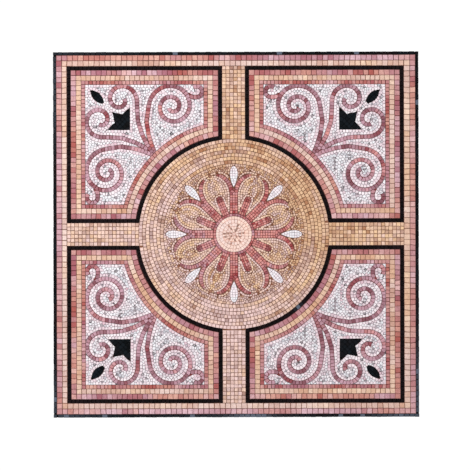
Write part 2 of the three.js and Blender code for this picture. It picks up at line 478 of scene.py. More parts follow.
@dataclass
class Seed:
    """Middle of one stone, before the stones are cut against each other.

    Args:
        x: Its place, to the right.
        z: Its place, upwards.
        shade: Tone, warmth, accent and a random number.
        reach: Half the largest size the stone may have.
        figure: Name of the figure that it belongs to.
    """

    x: float
    z: float
    shade: tuple[float, float, float, float]
    reach: float
    figure: str = ""


@dataclass
class StoneArea:
    """Stones of one piece, set out as middles in rows and then cut to fit each other.

    Args:
        node: CAD node that the piece stands for.
        slot: Material slot of the piece.
        fences: Outlines that the stones are cut to.
        joint: Width of the open joints.
        least_area: Smallest stone that is laid.
        tint: Change of shade over the panel, or None.
        courses: True where the stones of one figure don't cut those of another.
    """

    node: str
    slot: Slot
    fences: Sequence[Outline]
    joint: float = 1.6
    least_area: float = 9.0
    tint: Callable[[float, float, tuple], tuple] | None = None
    courses: bool = False
    seeds: list[Seed] = field(default_factory=list)
    chance: random.Random = field(init=False)
    grid: dict = field(init=False, default_factory=lambda: defaultdict(list))
    sides: dict = field(init=False, default_factory=lambda: defaultdict(list))

    STEP = 12.0
    SQUARES_AROUND = range(-2, 3)
    SKEW = 0.07
    SKEW_WAVES = (1.7, 2.3)
    JOINT_HALF, JOINT_STRAY = 0.3, 0.4
    DIAGONAL = 1.42

    def __post_init__(self) -> None:
        """Seed the random numbers and sort the sides of the fences into squares."""
        self.chance = random.Random(self.node)
        for fence in self.fences:
            corners = list(fence.points)
            for a, b in zip(corners, corners[1:] + corners[:1]):
                low_x, high_x = sorted((a[0], b[0]))
                low_z, high_z = sorted((a[1], b[1]))
                for i in range(self.square(low_x) - 1, self.square(high_x) + 2):
                    for j in range(self.square(low_z) - 1, self.square(high_z) + 2):
                        self.sides[i, j].append((a, b, fence.cuts))

    def square(self, value: float) -> int:
        """Index of the square that a coordinate falls in."""
        return math.floor(value / self.STEP)

    def near(self, x: float, z: float) -> list[Seed]:
        """Seeds in the squares round a place.

        Args:
            x: x of the place.
            z: z of the place.

        Returns:
            The seeds, square by square.
        """
        i, j = self.square(x), self.square(z)
        return [s for di in self.SQUARES_AROUND for dj in self.SQUARES_AROUND
                for s in self.grid.get((i + di, j + dj), ())]

    def place(self, points: Iterable[Point], shade: Shade, reach: float, figure: str = "",
              spacing: float = 0.0, jitter: float = 0.4) -> None:
        """Set out the middles of stones.

        Args:
            points: Middles in order.
            shade: How their colours differ.
            reach: Half the largest size a stone may have.
            figure: Name of the figure that they belong to.
            spacing: Least distance from the middles that are there already.
            jitter: How far a middle strays from its place.
        """
        run = [0.0, 0.0]
        for x, z in points:
            x += self.chance.uniform(-jitter, jitter)
            z += self.chance.uniform(-jitter, jitter)
            if spacing and any(math.hypot(s.x - x, s.z - z) < spacing for s in self.near(x, z)):
                continue
            seed = Seed(x, z, shade.draw(self.chance, run), reach, figure)
            self.seeds.append(seed)
            self.grid[self.square(x), self.square(z)].append(seed)

    def cell(self, seed: Seed) -> list[Point]:
        """Cut one stone to its neighbours and to the fences round it.

        Args:
            seed: Middle of the stone.

        Returns:
            Corners of the stone, fewer than three where nothing is left.
        """
        x, z, reach = seed.x, seed.z, seed.reach
        half = self.joint * (self.JOINT_HALF + self.JOINT_STRAY * seed.shade[3])
        shape = [(x - reach, z - reach), (x + reach, z - reach),
                 (x + reach, z + reach), (x - reach, z + reach)]
        shape = self.cut_by_neighbours(shape, seed, half)
        return self.cut_by_fences(shape, seed, half) if len(shape) > 2 else []

    def cut_by_neighbours(self, shape: list[Point], seed: Seed, half: float) -> list[Point]:
        """Cut a stone halfway to each of the stones round it.

        Args:
            shape: Corners of the stone so far.
            seed: Middle of the stone.
            half: Half the width of its joints.

        Returns:
            Corners of what is left.
        """
        x, z = seed.x, seed.z
        round_about = sorted((math.hypot(s.x - x, s.z - z), s.x - x, s.z - z)
                             for s in self.near(x, z)
                             if s is not seed and not (self.courses and s.figure != seed.figure))
        far = self.DIAGONAL * seed.reach
        wave_x, wave_z = self.SKEW_WAVES
        for distance, dx, dz in round_about:
            if distance / 2 > far or distance < TINY:
                break
            skew = self.SKEW * math.sin(wave_x * (2 * x + dx) + wave_z * (2 * z + dz))
            nx, nz = (dx - skew * dz) / distance, (dz + skew * dx) / distance
            shape = cut_back(shape, x + dx / 2 - nx * half, z + dz / 2 - nz * half, nx, nz)
            if len(shape) < 3:
                return []
            far = max(math.hypot(p[0] - x, p[1] - z) for p in shape)
        return shape

    def cut_by_fences(self, shape: list[Point], seed: Seed, half: float) -> list[Point]:
        """Cut a stone along the sides of the fences that cross it.

        Args:
            shape: Corners of the stone so far.
            seed: Middle of the stone.
            half: Half the width of its joints.

        Returns:
            Corners of what is left.
        """
        x, z = seed.x, seed.z
        for a, b, cuts in self.sides.get((self.square(x), self.square(z)), ()):
            length = math.dist(a, b)
            if length < TINY or (cuts and seed.figure not in cuts):
                continue
            nx, nz = (b[1] - a[1]) / length, (a[0] - b[0]) / length
            if (x - a[0]) * nx + (z - a[1]) * nz > 0:
                nx, nz = -nx, -nz
            beyond = max((p[0] - a[0]) * nx + (p[1] - a[1]) * nz for p in shape)
            if beyond > -half and crosses(shape, a, b, half):
                shape = cut_back(shape, a[0] - nx * half, a[1] - nz * half, nx, nz)
                if len(shape) < 3:
                    return []
        return shape

    def lay(self, cut: "StoneCut") -> int:
        """Cut the stones and make the piece.

        Args:
            cut: How a stone is cut and finished.

        Returns:
            Number of stones in the piece.
        """
        stones = []
        for seed in self.seeds:
            shape = trimmed(self.cell(seed), self.least_area)
            if shape:
                shade = self.tint(seed.x, seed.z, seed.shade) if self.tint else seed.shade
                stones.append((shape, shade))
        piece = cut.piece(f"{self.node}_stones", stones, self.node)
        FINISHES[self.slot].dress(piece)
        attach(piece, "root")
        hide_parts(self.node)
        LOG.info("%s: %d stones", piece.name, len(stones))
        return len(stones)


def new_object(name: str, mesh: bmesh.types.BMesh) -> bpy.types.Object:
    """Put a finished mesh in the scene as an object, and free it.

    Args:
        name: Name of the object and of its data.
        mesh: The finished mesh.

    Returns:
        The new object.
    """
    data = bpy.data.meshes.new(name)
    mesh.to_mesh(data)
    mesh.free()
    made = bpy.data.objects.new(name, data)
    bpy.context.scene.collection.objects.link(made)
    return made


@dataclass(frozen=True)
class JointFill:
    """Mortar that fills the joints between the stones to a little below their faces.

    Args:
        level: y of its face under each area of stone.
        deep: y of its face between two areas.
        edge: Half side of the square that it keeps inside of.
        back: y of its back between two areas, a little inside the setting bed.
        front: y beyond which a corner of a CAD body is on its face.
    """

    level: float = -9.8
    deep: float = -9.5
    edge: float = 548.6
    back: float = -3.8
    front: float = -11.0

    def pour(self, mesh: bmesh.types.BMesh, node: str) -> None:
        """Add the body of a CAD node to a mesh, with its face lowered to the level of the mortar.

        Args:
            mesh: Mesh to add to.
            node: Name of the CAD node.
        """
        body = bmesh.new()
        body.from_mesh(bpy.data.objects[node].data)
        bmesh.ops.remove_doubles(body, verts=body.verts, dist=1e-6)
        for corner in body.verts:
            if corner.co.y < self.front * MM:
                corner.co.y = self.level * MM
            corner.co.x = min(max(corner.co.x, -self.edge * MM), self.edge * MM)
            corner.co.z = min(max(corner.co.z, -self.edge * MM), self.edge * MM)
        for side in body.faces:
            side.material_index = 1
        data = bpy.data.meshes.new(f"{node}_fill")
        body.to_mesh(data)
        body.free()
        mesh.from_mesh(data)
        bpy.data.meshes.remove(data)

    def common(self) -> None:
        """Lay the mortar that shows between one area and the next."""
        mesh = bmesh.new()
        bmesh.ops.create_cube(mesh, size=1.0)
        size = (2 * self.edge * MM, (self.back - self.deep) * MM, 2 * self.edge * MM)
        bmesh.ops.scale(mesh, verts=mesh.verts, vec=size)
        bmesh.ops.translate(mesh, verts=mesh.verts, vec=(0, (self.deep + self.back) / 2 * MM, 0))
        piece = new_object("joint_mortar", mesh)
        piece.data.materials.append(JointMortar("Joint_mortar", "8a6660").material())
        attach(piece, "root")
        LOG.info("joint_mortar: laid under the joints")


@dataclass(frozen=True)
class StoneCut:
    """Depths of a stone and of its broken upper edge.

    Args:
        back: y of the stones' undersides, a little inside the setting bed.
        face: y that no stone's face goes beyond.
        uneven: How far faces may lie back from it.
        tilt: Slope of a face that doesn't lie flat.
        edge: Width of the broken edge.
        drop: Depth of the broken edge.
        fill: Mortar between the stones.
    """

    back: float = -3.7
    face: float = -12.0
    uneven: float = 0.45
    tilt: float = 0.022
    edge: float = 0.5
    drop: float = 0.35
    fill: JointFill = JointFill()

    LIE_WAVES = (977.0, 613.0, 331.0)
    CLEAR = 0.01

    def piece(self, name: str, stones: Sequence[tuple[list[Point], tuple]], node: str) -> bpy.types.Object:
        """Raise the stones' outlines into closed blocks with a broken upper edge.

        Args:
            name: Name of the piece.
            stones: Outline and shade of each stone.
            node: CAD node whose body the mortar between them takes.

        Returns:
            The new object.
        """
        mesh = bmesh.new()
        shade_layer = mesh.verts.layers.float_color.new("Stone")
        undersides = []
        for shape, shade in stones:
            corners = [mesh.verts.new((x * MM, self.back * MM, z * MM)) for x, z in shape]
            for corner in corners:
                corner[shade_layer] = shade
            undersides.append(mesh.faces.new(corners))
        raised = bmesh.ops.extrude_face_region(mesh, geom=undersides, use_keep_orig=True)["geom"]
        faces = [item for item in raised if isinstance(item, bmesh.types.BMFace)]
        for top in faces:
            self.level(top, shade_layer)
        bmesh.ops.recalc_face_normals(mesh, faces=mesh.faces)
        bmesh.ops.inset_individual(mesh, faces=faces, thickness=self.edge * MM,
                                   depth=self.drop * MM, use_even_offset=True)
        self.fill.pour(mesh, node)
        return new_object(name, mesh)

    def level(self, top: bmesh.types.BMFace, shade_layer: bmesh.types.BMLayerItem) -> None:
        """Set one raised face at its own depth and slope, which follow from its random number.

        Args:
            top: Face to move.
            shade_layer: Layer that holds the stones' shades.
        """
        chance = top.verts[0][shade_layer][3]
        middle = top.calc_center_median()
        slope_x, slope_z, sunk = (math.sin(chance * wave) for wave in self.LIE_WAVES)
        slope_x, slope_z = self.tilt * slope_x, self.tilt * slope_z
        lie = -self.face - self.drop - self.uneven * (0.5 + 0.5 * sunk)
        for corner in top.verts:
            rise = (corner.co.x - middle.x) * slope_x + (corner.co.z - middle.z) * slope_z
            height = min(lie * MM + rise, (-self.face - self.drop - self.CLEAR) * MM)
            corner.co.y = -height


# ---- finishes ----------------------------------------------------------------------------


def linear(code: str) -> tuple[float, float, float, float]:
    """Turn a colour written as six hex digits into linear values."""
    parts = [int(code[i:i + 2], 16) / 255 for i in (0, 2, 4)]
    return (*[p / 12.92 if p <= 0.04045 else ((p + 0.055) / 1.055) ** 2.4 for p in parts], 1.0)


class NodeBuilder:
    """Short calls for adding and linking shader nodes in one tree."""

    def __init__(self, tree: bpy.types.NodeTree) -> None:
        """Work in the given tree."""
        self.tree = tree

    def add(self, kind: str, **settings: object) -> bpy.types.Node:
        """Add a node.

        Args:
            kind: Type of the node.
            settings: Properties to set on it.

        Returns:
            The node.
        """
        node = self.tree.nodes.new(kind)
        for key, value in settings.items():
            setattr(node, key, value)
        return node

    def link(self, source: object, target: object) -> None:
        """Join an output to an input, or set the input to a plain value.

        Args:
            source: Output socket, or a value.
            target: Input socket.
        """
        if isinstance(source, bpy.types.NodeSocket):
            self.tree.links.new(source, target)
        else:
            target.default_value = source

    def place(self) -> object:
        """Add a Texture Coordinate node and return the place on the object."""
        return self.add("ShaderNodeTexCoord").outputs["Object"]

    def group(self, tree: bpy.types.NodeTree, **values: object) -> bpy.types.Node:
        """Add a node group.

        Args:
            tree: The group.
            values: Source or value of its inputs, with _ for the spaces in their names.

        Returns:
            The node.
        """
        node = self.add("ShaderNodeGroup", node_tree=tree)
        for key, value in values.items():
            self.link(value, node.inputs[key.replace("_", " ")])
        return node

    def math(self, operation: str, a: object, b: object = 0.0, clamp: bool = False) -> object:
        """Add a Math node.

        Args:
            operation: Its operation.
            a: First source or value.
            b: Second source or value.
            clamp: True to keep the result from 0 to 1.

        Returns:
            Its output.
        """
        node = self.add("ShaderNodeMath", operation=operation, use_clamp=clamp)
        self.link(a, node.inputs[0])
        self.link(b, node.inputs[1])
        return node.outputs[0]

    def mix(self, factor: object, a: object, b: object) -> object:
        """Add a colour Mix node.

        Args:
            factor: Share of the second colour.
            a: First colour.
            b: Second colour.

        Returns:
            Its output.
        """
        node = self.add("ShaderNodeMix", data_type="RGBA")
        self.link(factor, node.inputs["Factor"])
        self.link(a, node.inputs[6])
        self.link(b, node.inputs[7])
        return node.outputs[2]

    def scaled(self, colour: object, factor: object) -> object:
        """Add a node that makes a colour paler or darker.

        Args:
            colour: The colour.
            factor: What it is multiplied by.

        Returns:
            Its output.
        """
        node = self.add("ShaderNodeVectorMath", operation="SCALE")
        self.link(colour, node.inputs[0])
        self.link(factor, node.inputs["Scale"])
        return node.outputs[0]

    def span(self, value: object, low: float, high: float, to_low: float, to_high: float) -> object:
        """Add a clamped Map Range node.

        Args:
            value: Value to map.
            low: Start of its range.
            high: End of its range.
            to_low: Start of the new range.
            to_high: End of the new range.

        Returns:
            Its output.
        """
        node = self.add("ShaderNodeMapRange", clamp=True)
        self.link(value, node.inputs["Value"])
        for key, number in zip(("From Min", "From Max", "To Min", "To Max"), (low, high, to_low, to_high)):
            node.inputs[key].default_value = number
        return node.outputs["Result"]

    def noise(self, vector: object, scale: object, detail: float, distortion: float = 0.0) -> object:
        """Add a Noise texture.

        Args:
            vector: Place to read it at.
            scale: How fine it is.
            detail: Number of finer layers.
            distortion: How far it is drawn out of shape.

        Returns:
            Its value.
        """
        node = self.add("ShaderNodeTexNoise")
        self.link(vector, node.inputs["Vector"])
        self.link(scale, node.inputs["Scale"])
        node.inputs["Detail"].default_value = detail
        node.inputs["Distortion"].default_value = distortion
        return node.outputs["Fac"]

    def bump(self, height: object, strength: float, distance: float) -> object:
        """Add a Bump node.

        Args:
            height: Height to follow.
            strength: Its strength.
            distance: How deep it seems, in metres.

        Returns:
            Its normal.
        """
        node = self.add("ShaderNodeBump")
        node.inputs["Strength"].default_value = strength
        node.inputs["Distance"].default_value = distance
        self.link(height, node.inputs["Height"])
        return node.outputs["Normal"]


def new_material(name: str) -> tuple[bpy.types.Material, NodeBuilder, bpy.types.Node]:
    """Start a material.

    Args:
        name: Its name.

    Returns:
        The material, a builder for its nodes and its shader.
    """
    made = bpy.data.materials.new(name)
    made.use_nodes = True
    return made, NodeBuilder(made.node_tree), made.node_tree.nodes["Principled BSDF"]


class EffectGroups:
    """Shader node groups that several finishes share, each built once."""

    GREY = (0.5, 0.5, 0.5, 1.0)
    COLOUR, VALUE = "NodeSocketColor", "NodeSocketFloat"
    MIDDLE = (0.3, 0.7)
    GRAIN_SHIFT = (3.1, 5.3, 7.7)
    VEIN_WIDTH = 0.045
    STAIN_EDGE = (0.52, 0.6)
    # Depths over which the painted shadow in the joints deepens, and its strength.
    JOINT_DEPTHS = (-0.0113, -0.0095)
    JOINT_GRIME = 0.7

    @staticmethod
    def start(name: str, inputs: dict[str, object], outputs: dict[str, str]) -> tuple:
        """Start a group with named sockets.

        Args:
            name: Name of the group.
            inputs: Default value of each input; four numbers make a colour socket.
            outputs: Kind of each output.

        Returns:
            The tree, a builder for it, the outputs of its input node and the inputs of its output node.
        """
        tree = bpy.data.node_groups.new(name, "ShaderNodeTree")
        for key, value in inputs.items():
            kind = EffectGroups.COLOUR if isinstance(value, tuple) else EffectGroups.VALUE
            tree.interface.new_socket(key, in_out="INPUT", socket_type=kind).default_value = value
        for key, kind in outputs.items():
            tree.interface.new_socket(key, in_out="OUTPUT", socket_type=kind)
        build = NodeBuilder(tree)
        return tree, build, build.add("NodeGroupInput").outputs, build.add("NodeGroupOutput").inputs

    @cache
    def shade(self) -> bpy.types.NodeTree:
        """Group that turns a stone's shade into a colour of its marble.

        Returns:
            The group.
        """
        ends = ("Cool dark", "Cool pale", "Warm dark", "Warm pale", "Accent colour")
        tree, build, given, out = self.start(
            "Stone_shade", {"Tone": 0.5, "Warmth": 0.5, "Accent": 0.0, **{end: self.GREY for end in ends}},
            {"Colour": self.COLOUR})
        cool = build.mix(given["Tone"], given["Cool dark"], given["Cool pale"])
        warm = build.mix(given["Tone"], given["Warm dark"], given["Warm pale"])
        plain = build.mix(given["Warmth"], cool, warm)
        build.link(build.mix(given["Accent"], plain, given["Accent colour"]), out["Colour"])
        return tree

    @cache
    def grain(self) -> bpy.types.NodeTree:
        """Group for clouding, veins and crystal grain, different in each stone.

        Returns:
            The group.
        """
        tree, build, given, out = self.start(
            "Marble_grain",
            {"Colour": self.GREY, "Stone": 0.5, "Contrast": 0.3, "Veins": 0.3,
             "Vein colour": (0.3, 0.2, 0.2, 1.0)},
            {"Colour": self.COLOUR, "Polish": self.VALUE, "Height": self.VALUE})
        shift = build.add("ShaderNodeCombineXYZ")
        for axis, factor in zip("XYZ", self.GRAIN_SHIFT):
            build.link(build.math("MULTIPLY", given["Stone"], factor), shift.inputs[axis])
        moved = build.add("ShaderNodeVectorMath", operation="ADD")
        build.link(build.place(), moved.inputs[0])
        build.link(shift.outputs[0], moved.inputs[1])
        place = moved.outputs[0]
        cloud = build.noise(place, scale=190.0, detail=3.0, distortion=0.6)
        crystal = build.noise(place, scale=1500.0, detail=2.0)
        vein = build.noise(place, scale=95.0, detail=4.0, distortion=1.6)
        line = build.math("ABSOLUTE", build.math("SUBTRACT", vein, 0.5))
        line = build.span(line, 0.0, self.VEIN_WIDTH, 1.0, 0.0)
        swing = build.math("ADD", build.span(cloud, *self.MIDDLE, -0.6, 0.6),
                           build.span(crystal, *self.MIDDLE, -0.4, 0.4))
        factor = build.math("ADD", build.math("MULTIPLY", swing, given["Contrast"]), 1.0)
        amount = build.math("MULTIPLY", line, given["Veins"], clamp=True)
        build.link(build.mix(amount, build.scaled(given["Colour"], factor), given["Vein colour"]),
                   out["Colour"])
        build.link(build.span(crystal, *self.MIDDLE, -0.08, 0.08), out["Polish"])
        build.link(build.math("ADD", build.math("MULTIPLY", cloud, 0.6),
                              build.math("MULTIPLY", crystal, 0.4)), out["Height"])
        return tree

    @cache
    def stain(self) -> bpy.types.NodeTree:
        """Group that darkens a joint here and there, where it is open and dirty.

        Returns:
            The group.
        """
        tree, build, given, out = self.start(
            "Joint_stain", {"Colour": self.GREY, "Amount": 0.4}, {"Colour": self.COLOUR})
        patches = build.noise(build.place(), scale=130.0, detail=2.0)
        dark = build.math("MULTIPLY", build.span(patches, *self.STAIN_EDGE, 0.0, 1.0), given["Amount"])
        build.link(build.scaled(given["Colour"], build.math("SUBTRACT", 1.0, dark)), out["Colour"])
        return tree

    # Painted shadow: the sides of the stones turn towards a dark colour the deeper they lie in a joint.
    @cache
    def grime(self) -> bpy.types.NodeTree:
        """Group that paints shadow deep in the open joints, darker the deeper a face lies.

        Returns:
            The group.
        """
        tree, build, given, out = self.start(
            "Joint_grime", {"Colour": self.GREY, "Grime colour": (0.1, 0.08, 0.07, 1.0)},
            {"Colour": self.COLOUR, "Depth": self.VALUE})
        split = build.add("ShaderNodeSeparateXYZ")
        build.link(build.place(), split.inputs[0])
        # Depth mask of the painted shadow, from the stone faces down to the mortar.
        depth = build.span(split.outputs["Y"], *self.JOINT_DEPTHS, 0.0, 1.0)
        build.link(build.mix(build.math("MULTIPLY", depth, self.JOINT_GRIME), given["Colour"],
                             given["Grime colour"]), out["Colour"])
        build.link(depth, out["Depth"])
        return tree


EFFECTS = EffectGroups()


@dataclass(frozen=True)
class Marble:
    """Cut marble in several shades of one colour.

    Args:
        name: Name of the material.
        cool_dark: Darkest cool shade.
        cool_pale: Palest cool shade.
        warm_dark: Darkest warm shade.
        warm_pale: Palest warm shade.
        accent: Colour of odd and worn stones.
        vein: Colour of the veins.
        grime: Colour of the joint mortar, and the colour of the painted shadow that the stones' sides turn to deep in
            the joints.
        contrast: Strength of the clouding.
        veins: Strength of the veins.
        roughness: Roughness of the honed face.
        gloss: Specular level.
        stain: How dark the joints turn here and there.
    """

    name: str
    cool_dark: str
    cool_pale: str
    warm_dark: str
    warm_pale: str
    accent: str
    vein: str
    grime: str
    contrast: float = 0.22
    veins: float = 0.35
    roughness: float = 0.55
    gloss: float = 0.22
    stain: float = 0.45

    ROUGH_JOINT = 0.95

    @cache
    def material(self) -> bpy.types.Material:
        """Make the material, once for all the pieces that have it.

        Returns:
            The material.
        """
        made, build, shader = new_material(self.name)
        stone = build.add("ShaderNodeAttribute", attribute_name="Stone")
        split = build.add("ShaderNodeSeparateColor")
        build.link(stone.outputs["Color"], split.inputs[0])
        shade = build.group(
            EFFECTS.shade(), Tone=split.outputs["Red"], Warmth=split.outputs["Green"],
            Accent=split.outputs["Blue"], Cool_dark=linear(self.cool_dark), Cool_pale=linear(self.cool_pale),
            Warm_dark=linear(self.warm_dark), Warm_pale=linear(self.warm_pale), Accent_colour=linear(self.accent))
        grain = build.group(
            EFFECTS.grain(), Colour=shade.outputs["Colour"], Stone=stone.outputs["Alpha"],
            Contrast=self.contrast, Veins=self.veins, Vein_colour=linear(self.vein))
        stain = build.group(EFFECTS.stain(), Colour=linear(self.grime), Amount=self.stain)
        # Painted shadow deep in the joints, laid over the colour of the grain.
        grime = build.group(
            EFFECTS.grime(), Colour=grain.outputs["Colour"], Grime_colour=stain.outputs["Colour"])
        build.link(grime.outputs["Colour"], shader.inputs["Base Color"])
        rough = build.span(grime.outputs["Depth"], 0.0, 1.0, self.roughness, self.ROUGH_JOINT)
        build.link(build.math("ADD", grain.outputs["Polish"], rough, clamp=True), shader.inputs["Roughness"])
        shader.inputs["Specular IOR Level"].default_value = self.gloss
        build.link(build.bump(grain.outputs["Height"], 0.35, 0.0002), shader.inputs["Normal"])
        return made

    def dress(self, piece: bpy.types.Object) -> None:
        """Give a new piece this finish, with its mortar in the second place."""
        piece.data.materials.append(self.material())
        piece.data.materials.append(JointMortar(f"{self.name}_joint", self.grime, self.stain).material())


@dataclass(frozen=True)
class JointMortar:
    """Sandy mortar in the joints, stained by the stone beside it.

    Args:
        name: Name of the material.
        colour: Its colour.
        stain: How dark it turns here and there.
    """

    name: str
    colour: str
    stain: float = 0.45

    @cache
    def material(self) -> bpy.types.Material:
        """Make the material, once for all the pieces that have it.

        Returns:
            The material.
        """
        made, build, shader = new_material(self.name)
        place = build.place()
        cloud, sand = build.noise(place, scale=60.0, detail=3.0), build.noise(place, scale=1800.0, detail=1.0)
        swing = build.math("ADD", build.span(cloud, *EFFECTS.MIDDLE, 0.7, 1.25),
                           build.span(sand, *EFFECTS.MIDDLE, -0.15, 0.15))
        stained = build.group(EFFECTS.stain(), Amount=self.stain,
                              Colour=build.scaled(linear(self.colour)[:3], swing))
        build.link(stained.outputs["Colour"], shader.inputs["Base Color"])
        shader.inputs["Roughness"].default_value = 0.95
        shader.inputs["Specular IOR Level"].default_value = 0.1
        build.link(build.bump(sand, 0.5, 0.0003), shader.inputs["Normal"])
        return made


@dataclass(frozen=True)
class SettingMortar:
    """Grey bed of mortar with the woven glass net pressed into its back.

    Args:
        name: Name of the material.
        dark: Colour where the mortar is damp or deep.
        pale: Colour of the dry mortar.
        net: Colour of the glass threads.
        mesh: Distance from one thread to the next, in metres.
    """

    name: str = "Setting_mortar"
    dark: str = "57504a"
    pale: str = "857d74"
    net: str = "d9d6cc"
    mesh: float = 0.01

    THREAD = (0.04, 0.07)
    BACK = (-0.0004, -0.0001)
    NET_SHOWS = 0.5

    def material(self) -> bpy.types.Material:
        """Make the material.

        Returns:
            The material.
        """
        made, build, shader = new_material(self.name)
        place = build.place()
        cloud, sand = build.noise(place, scale=30.0, detail=5.0), build.noise(place, scale=900.0, detail=2.0)
        dark, pale = linear(self.dark), linear(self.pale)
        colour = build.mix(build.span(cloud, *EFFECTS.MIDDLE, 0.0, 1.0), dark, pale)
        colour = build.mix(build.span(sand, 0.35, 0.65, 0.0, 0.3), colour, dark)
        split = build.add("ShaderNodeSeparateXYZ")
        build.link(place, split.inputs[0])
        threads = []
        for axis in ("X", "Z"):
            part = build.math("FRACT", build.math("DIVIDE", split.outputs[axis], self.mesh))
            middle = build.math("ABSOLUTE", build.math("SUBTRACT", part, 0.5))
            threads.append(build.span(middle, *self.THREAD, 1.0, 0.0))
        back = build.span(split.outputs["Y"], *self.BACK, 0.0, 1.0)
        net = build.math("MULTIPLY", build.math("MAXIMUM", *threads), back)
        build.link(build.mix(build.math("MULTIPLY", net, self.NET_SHOWS), colour, linear(self.net)),
                   shader.inputs["Base Color"])
        shader.inputs["Roughness"].default_value = 0.92
        height = build.math("ADD", build.math("MULTIPLY", net, 0.6), build.math("MULTIPLY", sand, 0.4))
        build.link(build.bump(height, 0.6, 0.0006), shader.inputs["Normal"])
        return made


FINISHES: dict[Slot, Marble] = {
    Slot.BLACK: Marble("Black_marble", "04080b", "10181e", "0c0505", "1c1012", "5c6472", "403a40", "0a0606",
                       contrast=0.3, veins=0.1, gloss=0.06),
    Slot.ROSE: Marble("Rose_marble", "a66270", "e2bcc6", "b05c54", "e4b0a0", "8c5048", "94504c", "7a3c38"),
    Slot.CREAM: Marble("Cream_marble", "cda59b", "f0d6ce", "d4a080", "f6d6ba", "c07c68", "b98a70", "9a6850"),
    Slot.BEIGE: Marble("Beige_marble", "a58480", "f2d2ce", "b07854", "f4cca4", "96604a", "9a6c52", "8c5e48"),
    Slot.WHITE: Marble("White_marble", "c2c2ca", "f6f6fa", "e0b8c4", "fff2f6", "74787a", "a9a0aa", "b4a8ae",
                       stain=0.72),
    Slot.RED: Marble("Red_marble", "885560", "cca2b0", "a43c40", "e69c94", "7a463e", "7a3a3a", "823e3c"),
    Slot.PINK: Marble("Pink_marble", "ceaaa4", "f8e0da", "e0ac96", "ffdccc", "64443e", "b58a76", "e2b8a8"),
}


# ---- border and corner bands -------------------------------------------------------------


@dataclass
class Border:
    """Three square rows round the edge of the panel.

    Args:
        edges: Half sides of the square between one row and the next.
        frame_x: x of the middle of the corner panels' frame.
        frame_half: Half side of that frame.
        pitch: Distance from one stone to the next.
    """

    edges: tuple[float, float, float] = (550.0, 540.0, 523.5)
    frame_x: float = FRAME_X
    frame_half: float = FRAME_HALF
    pitch: float = 16.4

    OVERHANG = 0.54

    @staticmethod
    def square(half: float, x: float = 0.0) -> list[Point]:
        """Corners of a square with the given half side."""
        return [(x - half, -half), (x + half, -half), (x + half, half), (x - half, half)]

    def row(self, node: str, slot: Slot, outer: list[Point], inner: list[Point], shade: Shade) -> StoneArea:
        """Set out one row of stones between two squares.

        Args:
            node: CAD node that the row stands for.
            slot: Material slot.
            outer: Corners of the outer square.
            inner: Corners of the inner square.
            shade: How the stones' colours differ.

        Returns:
            The area, ready to be laid.
        """
        grown = self.square(self.edges[0] + self.OVERHANG) if outer[1][0] == self.edges[0] else outer
        batches = WORN_EDGE if slot is Slot.BLACK else EDGE_BATCHES
        area = StoneArea(node, slot, [Outline(grown), Outline(inner)], joint=1.8, tint=tinted(batches))
        middle = [((a[0] + b[0]) / 2, (a[1] + b[1]) / 2) for a, b in zip(outer, inner)]
        for a, b in zip(middle, middle[1:] + middle[:1]):
            area.place(stations([a, b], self.pitch)[:-1], shade, reach=13.0, jitter=0.5)
        return area

    def areas(self) -> list[StoneArea]:
        """Set out the black, rose and cream rows.

        Returns:
            The three areas, ready to be laid.
        """
        squares = [*map(self.square, self.edges), self.square(self.frame_half, self.frame_x)]
        rows = (("outer_black_row", Slot.BLACK, Shade(0.5, 0.35, 0.35, 0.4, 0.0, 0.03)),
                ("outer_rose_row", Slot.ROSE, Shade(0.56, 0.26, 0.25, 0.3)),
                ("outer_cream_row", Slot.CREAM, Shade(0.5, 0.25, 0.3, 0.3)))
        return [self.row(node, slot, outer, inner, shade)
                for (node, slot, shade), outer, inner in zip(rows, squares, squares[1:])]


